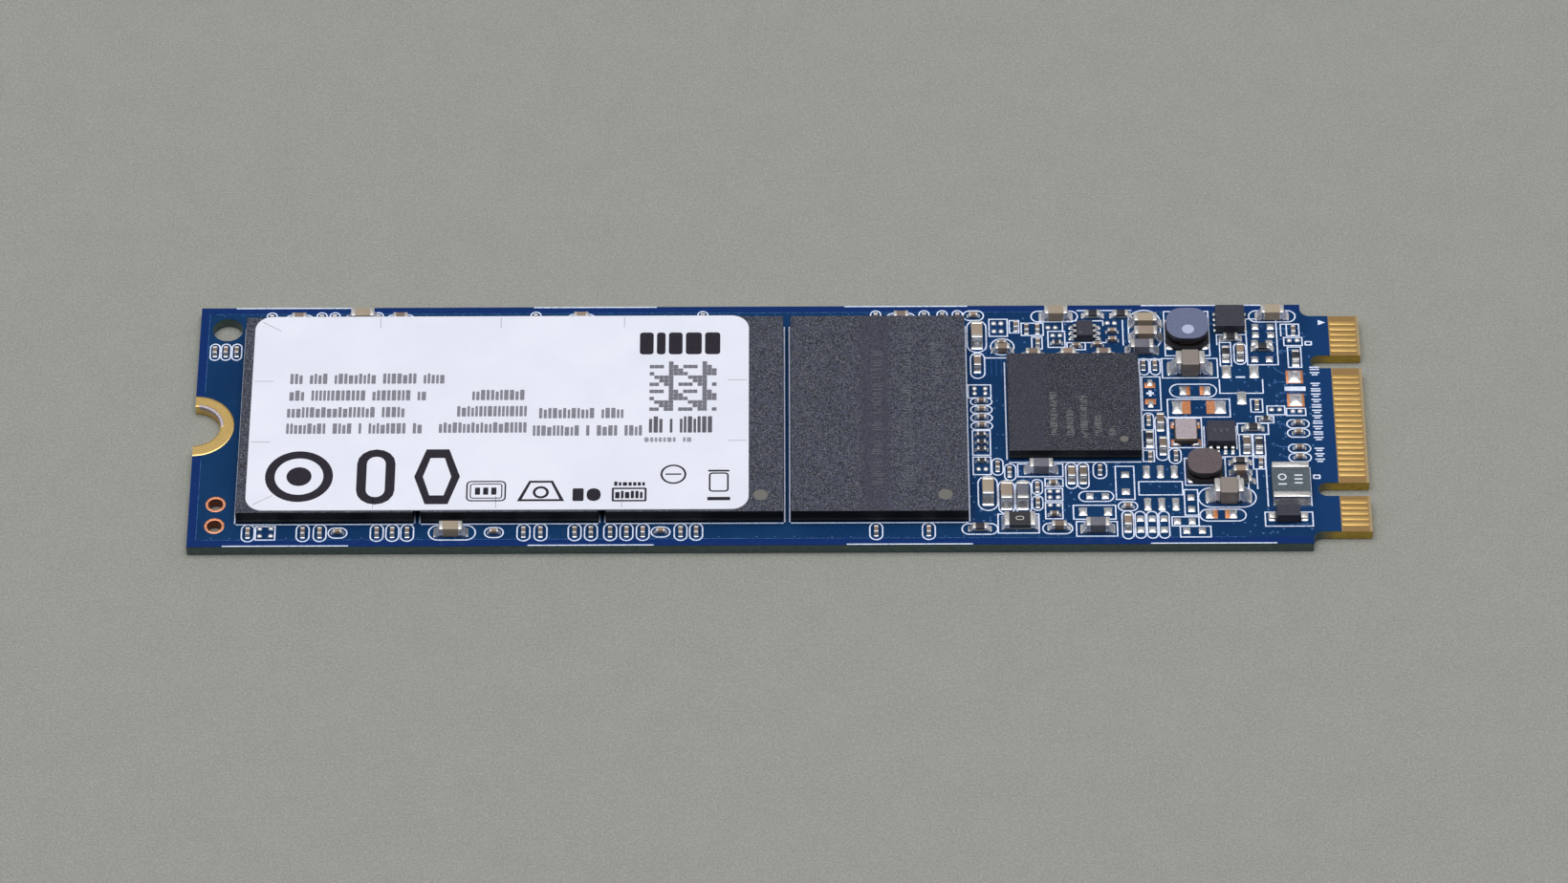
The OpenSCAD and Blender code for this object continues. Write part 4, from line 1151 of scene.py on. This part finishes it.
def label():
    """The film with its prints: every word, code and mark is a plain shape."""
    film = Piece()
    size = LABEL.size
    rings = []
    for inset, z in block_levels(size[2], 0.02, steps=2):
        rings.append(raised(rounded_outline(*size[:2] / 2 - inset, LABEL_CORNER, 12), z))
    film.add(loft(rings), at=LABEL.foot)
    film.make("label_film", film_paint(), "label")
    prints = LabelPrint()
    u = 26.5
    for width in BLOCK_WIDTHS:
        prints.bar(u, 14.2, width, 2.05, 0.22)
        u += width + 0.22
    code_square(prints, 27.2, 8.95, 4.6)
    prints.row(27.2, 6.95, 31.6, 1.5, 0.3)
    prints.row(26.9, 6.1, 30.4, 0.42, 1)
    for u, v, end in PRINT_ROWS:
        prints.row(u, v, end, 0.95, 0.7)
    large_marks(prints)
    small_marks(prints)
    label_slits(prints)
    prints.make("label_print", print_paint())


# ---- Inductors ----

FLANGE_CORNER = 0.38
POST_SHARE = 0.3
WIRE_R = 0.05
WIRE_STEPS = 48
SHADED = 0.5


def drum(core, coil, dot_r):
    """A drum core on a foot with chamfered corners, with a painted dot of radius dot_r if that is set."""
    width = core.size[0]
    foot_h = coil.low[2] - core.low[2]
    flange_z = coil.high[2] - core.low[2]
    flange_h = core.size[2] - flange_z
    half = width / 2
    cut = half - 0.21 * width
    foot = [
        (half, -cut), (half, cut), (cut, half), (-cut, half),
        (-half, cut), (-half, -cut), (-cut, -half), (cut, -half),
    ]
    smaller = [(x * 0.985, y * 0.985) for x, y in foot]
    rings = [raised(foot, 0), raised(foot, foot_h - 0.02), raised(smaller, foot_h)]
    piece = Piece()
    # the foot and post take the painted shade in full
    piece.add(loft(rings), at=core.foot, tint=SHADED)
    post = plate(circle(POST_SHARE * width, 32), flange_z - foot_h + 0.02)
    piece.add(post, at=core.foot + [0, 0, foot_h - 0.01], tint=SHADED)
    flange = block((0.97 * width, 0.97 * width, flange_h), FLANGE_CORNER * width, 0.06, 0.04, steps=8)
    # painted shade fades in down the flange's lower side
    low_side = np.clip((flange_h - 0.01 - flange[0][:, 2]) / 0.06, 0, 1) * SHADED
    piece.add(flange, at=core.foot + [0, 0, flange_z], tint=low_side)
    if dot_r:
        at = (core.centre[0] + 0.03, core.centre[1] - 0.2 * width, core.high[2] - 0.002)
        piece.add(plate(circle(dot_r, 40), 0.006), at=at, tint=1)
    return piece


def winding(coil):
    """Turns of wire stacked in the gap, wound from one end to the other."""
    turns = max(3, int(coil.size[2] / (2.1 * WIRE_R)))
    rise = (coil.size[2] - 2 * WIRE_R) / turns
    radius = coil.size[0] / 2 - WIRE_R
    path = []
    for i in range(turns * WIRE_STEPS + 1):
        angle = math.tau * i / WIRE_STEPS
        path.append((radius * math.cos(angle), radius * math.sin(angle), WIRE_R + rise * i / WIRE_STEPS))
    piece = Piece()
    piece.add(tube(path, WIRE_R), at=coil.foot)
    piece.add(plate(circle(radius - 0.02, 40), coil.size[2]), at=coil.foot)
    return piece


def inductor(name, node, paint, dot_r):
    core, coil = box_of(f"{node}_core"), box_of(f"{node}_winding")
    drum(core, coil, dot_r).make(f"{name}_drum", paint, f"{node}_core")
    winding(coil).make(f"{name}_wire", WINDING, f"{node}_winding")
    width = core.size[0]
    drop = solder_dome(0.1 * width, 0.08 * width, 0.09, 0, 0.9)
    ends = Piece()
    for pad in solids(f"{node}_terminals"):
        x = core.centre[0] + math.copysign(0.4 * width, pad.centre[0] - core.centre[0])
        ends.add(block(pad.size, 0.08, 0.015), at=pad.foot)
        for side in (-1, 1):
            ends.add(drop, at=(x, core.centre[1] + side * 0.4 * width, pad.low[2]), tint=0.5)
    ends.make(f"{name}_ends", SOLDER, f"{node}_terminals")


# ---- Crystal ----


def crystal():
    """Ceramic base, metal lid with a painted highlight round its rim, and copper pads with solder in front.
    """
    soft_blocks("crystal_ceramic", "crystal_base", CERAMIC, 0.1, 0.03)
    lid = box_of("crystal_lid")
    cover = Piece()
    shape = block(lid.size, 0.16, 0.05, steps=4)
    # painted highlight: the lid's sides take the bright mark colour of LID
    cover.add(shape, at=lid.foot, tint=shape[0][:, 2] < lid.size[2] - 0.03)
    cover.make("crystal_cover", LID, "crystal_lid")
    soft_blocks("crystal_pads", "crystal_terminals", PAD_COPPER, 0.05, 0.01)
    drops = Piece()
    for pad in solids("crystal_terminals"):
        front = math.copysign(0.12, pad.centre[1] - lid.centre[1])
        drops.add(solder_dome(0.3, 0.2, 0.16, 0.1, 0.6), at=pad.foot + [0, front, 0], tint=draw.random())
    drops.make("crystal_solder", SOLDER)


# ---- Small chips with leads ----

LEAD_T = 0.08


def chip_body(name, node, draft=0.06, pin_mark=False):
    """A small moulded body with leaning walls, and a pin 1 ring if pin_mark is set."""
    box = box_of(node)
    piece = Piece()
    piece.add(block(box.size, 0.05, 0.04, 0.02, draft), at=box.foot, tint=0)
    if pin_mark:
        at = (box.low[0] + 0.32, box.low[1] + 0.32, box.high[2] - 0.001)
        piece.add(frame_plate(circle(0.11, 24), circle(0.07, 24), 0.004), at=at, tint=0.6)
    piece.make(name, SMALL_MOULDING, node)
    return box


def gull_leads(name, node, body, across):
    """Leads bent down to the pads; across is the axis that they reach out along."""
    piece = Piece()
    for lead in solids(node):
        outward = math.copysign(1, lead.centre[across] - body.centre[across])
        turn = 90 * across * outward + (0 if outward > 0 or across else 180)
        reach = lead.size[across]
        high = lead.size[2] - LEAD_T / 2
        path = [(-0.08, high)]
        for i in range(7):
            share = i / 6
            bend = (1 - math.cos(math.pi * share)) / 2
            path.append((reach * (0.3 + 0.35 * share), high + (LEAD_T / 2 - high) * bend))
        path.append((reach, LEAD_T / 2))
        at = lead.foot.copy()
        at[across] -= outward * reach / 2
        piece.add(ribbon(path, lead.size[1 - across], LEAD_T), at=at, turn=turn)
    piece.make(name, TIN, node)


def leaded_chips():
    chip_body("diode_moulding", "diode_body", 0.07)
    soft_blocks("diode_tabs", "diode_leads", TIN, 0.04, 0.03)
    converter = chip_body("converter_moulding", "converter_body")
    gull_leads("converter_legs", "converter_leads", converter, 1)
    switch = chip_body("switch_moulding", "load_switch_body", pin_mark=True)
    gull_leads("switch_legs", "load_switch_leads", switch, 0)
    chip_body("manager_moulding", "power_manager_body", 0)
    soft_blocks("manager_pads", "power_manager_pads", TIN, 0.04, 0.03)


# ---- Chip parts with two ends ----

CAP_ROUND = 0.09
BODY_ROUND = 0.06
FILLET_CLIMB = 0.6


def two_ended(name, bodies_node, ends_node, paint, shades=(0.0, 1.0)):
    """Bodies and wrapped metal ends of one size of chip part. Gives each end's box, axis and outward side."""
    bodies, ends, found = Piece(), Piece(), []
    body_boxes = solids(bodies_node)
    centres = np.array([b.centre[:2] for b in body_boxes])
    for body in body_boxes:
        size = body.size.copy()
        size[int(size[1] > size[0])] += 2 * CAP_ROUND * size[2]
        soft = BODY_ROUND * size[2]
        bodies.add(block(size, soft, soft), at=body.foot, tint=draw.uniform(*shades))
    for end in solids(ends_node):
        nearest = np.hypot(*(centres - end.centre[:2]).T).argmin()
        away = end.centre[:2] - centres[nearest]
        along = int(abs(away[1]) > abs(away[0]))
        soft = CAP_ROUND * min(end.size[1 - along], end.size[2])
        ends.add(block(end.size, soft, soft, steps=4), at=end.foot, tint=draw.random())
        found.append((end, along, math.copysign(1, away[along])))
    bodies.make(f"{name}_ceramic", paint, bodies_node)
    ends.make(f"{name}_ends", TIN, ends_node)
    return found


def solder_work(ends):
    """A climbing fillet at each chip end, and a low cushion under each lead."""
    piece = Piece()
    joints = solids("solder_joints")
    for end, along, outward in ends:
        face = end.centre[along] + outward * end.size[along] / 2
        near = end.size[1 - along] / 2
        reach, far = 0.15, near
        for joint in joints:
            if joint.covers(end.centre):
                edge = joint.high[along] if outward > 0 else joint.low[along]
                reach = abs(edge - face)
                far = joint.size[1 - along] / 2
        at = np.array([end.centre[0], end.centre[1], TOP])
        at[along] = face
        turn = 90 * along + (0 if outward > 0 else 180)
        climb = end.low[2] - TOP + FILLET_CLIMB * end.size[2]
        shape = solder_fillet(max(reach, 0.1), 0.6 * end.size[along], near, max(near, far), climb)
        piece.add(shape, at=at, turn=turn)
    for joint in joints:
        if not any(joint.covers(end.centre) for end, _, _ in ends):
            half_x, half_y = joint.size[:2] / 2
            piece.add(solder_dome(half_x, half_y, joint.size[2] + 0.03, 0, 0.4), at=joint.foot)
    piece.make("solder_fillets", SOLDER, "solder_joints")


def chip_parts():
    brown = capacitor_paint("capacitor_brown", (100, 86, 78), (148, 126, 108))
    tan = capacitor_paint("capacitor_tan", (140, 122, 110), (162, 148, 126))
    grey = capacitor_paint("capacitor_grey", (122, 112, 106), (142, 132, 126))
    ends = []
    for size, paint in (("0201", brown), ("0402", brown), ("0603", tan), ("0805", grey)):
        ends += two_ended(
            f"capacitor_{size}", f"capacitor_bodies_{size}", f"capacitor_terminals_{size}", paint,
        )
    for size in ("0201", "0402"):
        ends += two_ended(
            f"resistor_{size}", f"resistor_bodies_{size}", f"resistor_terminals_{size}", RESISTOR, (0, 0.2),
        )
    ends += two_ended("bead", "ferrite_bead_bodies", "ferrite_bead_terminals", BEAD)
    ends += two_ended("link", "zero_ohm_link_body", "zero_ohm_link_terminals", RESISTOR, (0, 0))
    ends += two_ended("fuse", "fuse_body", "fuse_terminals", FUSE, (0, 0))
    part_prints()
    solder_work(ends)


def oval_ring(half_x, half_y, line):
    """A flat ring with round ends."""
    outer = rounded_outline(half_x, half_y, half_y, 6)
    inner = rounded_outline(half_x - line, half_y - line, half_y - line, 6)
    return frame_plate(outer, inner, LASER_H)


def part_prints():
    """A nought on the link, and a ring and bars on the fuse."""
    link, fuse = box_of("zero_ohm_link_body"), box_of("fuse_body")
    nought = Piece()
    nought.add(oval_ring(0.28, 0.17, 0.05), at=(*link.centre[:2], link.high[2]), tint=1)
    nought.make("link_print", RESISTOR)
    marks = Piece()
    x, y, z = fuse.centre[0], fuse.centre[1], fuse.high[2]
    marks.add(oval_ring(0.3, 0.3, 0.1), at=(x - 0.6, y + 0.2, z), tint=1)
    marks.add(plate(rounded_outline(0.3, 0.06, 0.05, 2), LASER_H), at=(x - 0.6, y - 0.45, z), tint=1)
    bar = plate(rounded_outline(0.28, 0.06, 0.05, 2), LASER_H)
    for k in range(3):
        marks.add(bar, at=(x + 0.5, y + 0.35 - 0.35 * k, z), tint=1)
    marks.make("fuse_print", FUSE)


# ---- Legend blocks ----

SERIAL_X = 36.75
BLOCK_H = 0.012


def legend_blocks():
    """Pairs of bars in the place of the printed serial column beside the tongue."""
    piece = Piece()
    long_bar = plate(rounded_outline(0.34, 0.055, 0.05, 2), BLOCK_H)
    short_bar = plate(rounded_outline(0.22, 0.055, 0.05, 2), BLOCK_H)
    x, y = SERIAL_X, 5.1
    while y > -4.4:
        if draw.random() > 0.1:
            piece.add(long_bar, at=(x, y, TOP))
            piece.add(draw.choice([long_bar, short_bar]), at=(x, y - 0.2, TOP))
        y -= 0.5
    square = frame_plate(rounded_outline(0.26, 0.2, 0.08), rounded_outline(0.16, 0.1, 0.04), BLOCK_H)
    for y in (7.35, -5.0):
        piece.add(square, at=(x - 0.3, y, TOP))
    piece.make("legend_blocks", LEGEND)


# ---- Stage ----


def floor():
    """A pale card, a hair below the card's underside."""
    half, gap = 0.9, 0.02 * MM
    mesh = bpy.data.meshes.new("floor")
    corners = [(-half, -half, -gap), (half, -half, -gap), (half, half, -gap), (-half, half, -gap)]
    mesh.from_pydata(corners, [], [(0, 1, 2, 3)])
    mesh.materials.append(floor_paint().material)
    piece = bpy.data.objects.new("floor", mesh)
    bpy.context.scene.collection.objects.link(piece)


def soft_lamp(name, place, size, watts):
    """A square lamp aimed at the middle of the card."""
    lamp = bpy.data.lights.new(name, "AREA")
    lamp.shape = "SQUARE"
    lamp.size = size
    lamp.energy = watts
    holder = bpy.data.objects.new(name, lamp)
    holder.location = place
    holder.rotation_mode = "QUATERNION"
    holder.rotation_quaternion = (-Vector(place)).to_track_quat("-Z", "Y")
    bpy.context.scene.collection.objects.link(holder)


# How bright the room is along the arc from the horizon behind the card, over the top, to the one in front.
# Each pair is a place on the arc, from 0 to 1, and a level.
ROOM_ARC = (
    (0.0, 0.6), (0.1, 0.5), (0.17, 0.16), (0.34, 0.14), (0.44, 0.9), (0.58, 0.6), (0.7, 0.1), (1.0, 0.04),
)
# The bright side walls behind the card: how far out to the side they start and are full, and their level
SIDE_FROM = 0.42
SIDE_TO = 0.75
SIDE_LEVEL = 0.6
BEHIND = 0.4


def room_light():
    """A soft room, bright overhead and at the sides behind the card, with a dim gap under the ceiling."""
    world = bpy.data.worlds.new("room")
    world.use_nodes = True
    room = Nodes(world.node_tree)
    x, y, z = room.axes(room.node("ShaderNodeTexCoord").outputs["Generated"])
    along_arc = room.math("DIVIDE", room.math("ARCTAN2", z, y), math.pi)
    levels = room.node("ShaderNodeValToRGB", ("Fac", along_arc))
    stops = levels.color_ramp.elements
    while len(stops) < len(ROOM_ARC):
        stops.new(0.5)
    for stop, (place, level) in zip(stops, ROOM_ARC):
        stop.position = place
        stop.color = (0.95 * level, 0.97 * level, level, 1)
    beside = room.spread(room.math("ABSOLUTE", x), SIDE_FROM, SIDE_TO, 0, SIDE_LEVEL)
    walls = room.math("MULTIPLY", beside, room.spread(y, 0, BEHIND))
    light = room.blend(walls, levels.outputs["Color"], (255, 255, 255))
    room.feed(world.node_tree.nodes["Background"].inputs["Color"], light)
    bpy.context.scene.world = world


# Camera: where it stands round the card, in degrees and millimetres
CAMERA_AZIMUTH = 0.1
CAMERA_ELEVATION = 47.95
CAMERA_ROLL = -0.27
CAMERA_DISTANCE = 525.8
CAMERA_AIM = (0.29, -0.88, 0)
CAMERA_LENS = 176.7


def camera():
    """Looks down at the card from in front."""
    turn, tilt, roll = (math.radians(a) for a in (CAMERA_AZIMUTH, CAMERA_ELEVATION, CAMERA_ROLL))
    back = Vector((math.sin(turn) * math.cos(tilt), -math.cos(turn) * math.cos(tilt), math.sin(tilt)))
    level = back.cross(Vector((0, 0, -1))).normalized()
    upright = level.cross(-back)
    right = level * math.cos(roll) + upright * math.sin(roll)
    up = upright * math.cos(roll) - level * math.sin(roll)
    middle = Vector(((cad_low.x + cad_high.x) / 2, (cad_low.y + cad_high.y) / 2, cad_low.z))
    data = bpy.data.cameras.new("camera")
    data.lens = CAMERA_LENS
    data.clip_start = 0.01
    data.clip_end = 5
    holder = bpy.data.objects.new("camera", data)
    holder.matrix_world = Matrix((right, up, back)).transposed().to_4x4()
    holder.location = middle + Vector(CAMERA_AIM) * MM + back * CAMERA_DISTANCE * MM
    bpy.context.scene.collection.objects.link(holder)
    bpy.context.scene.camera = holder


paint_board()
gold_fingers()
mounting_ring()
test_holes()
board_relief()
bare_pads()
copper_margins()
packages()
label()
inductor("boost_coil", "boost_inductor", GREY_FERRITE, 0.42)
inductor("buck_coil", "buck_inductor", BROWN_FERRITE, 0)
crystal()
leaded_chips()
chip_parts()
legend_blocks()

floor()
soft_lamp("key", (-0.04, 0.0, 0.74), 0.8, 5.4)
room_light()
camera()
bpy.context.scene.view_settings.view_transform = "Standard"
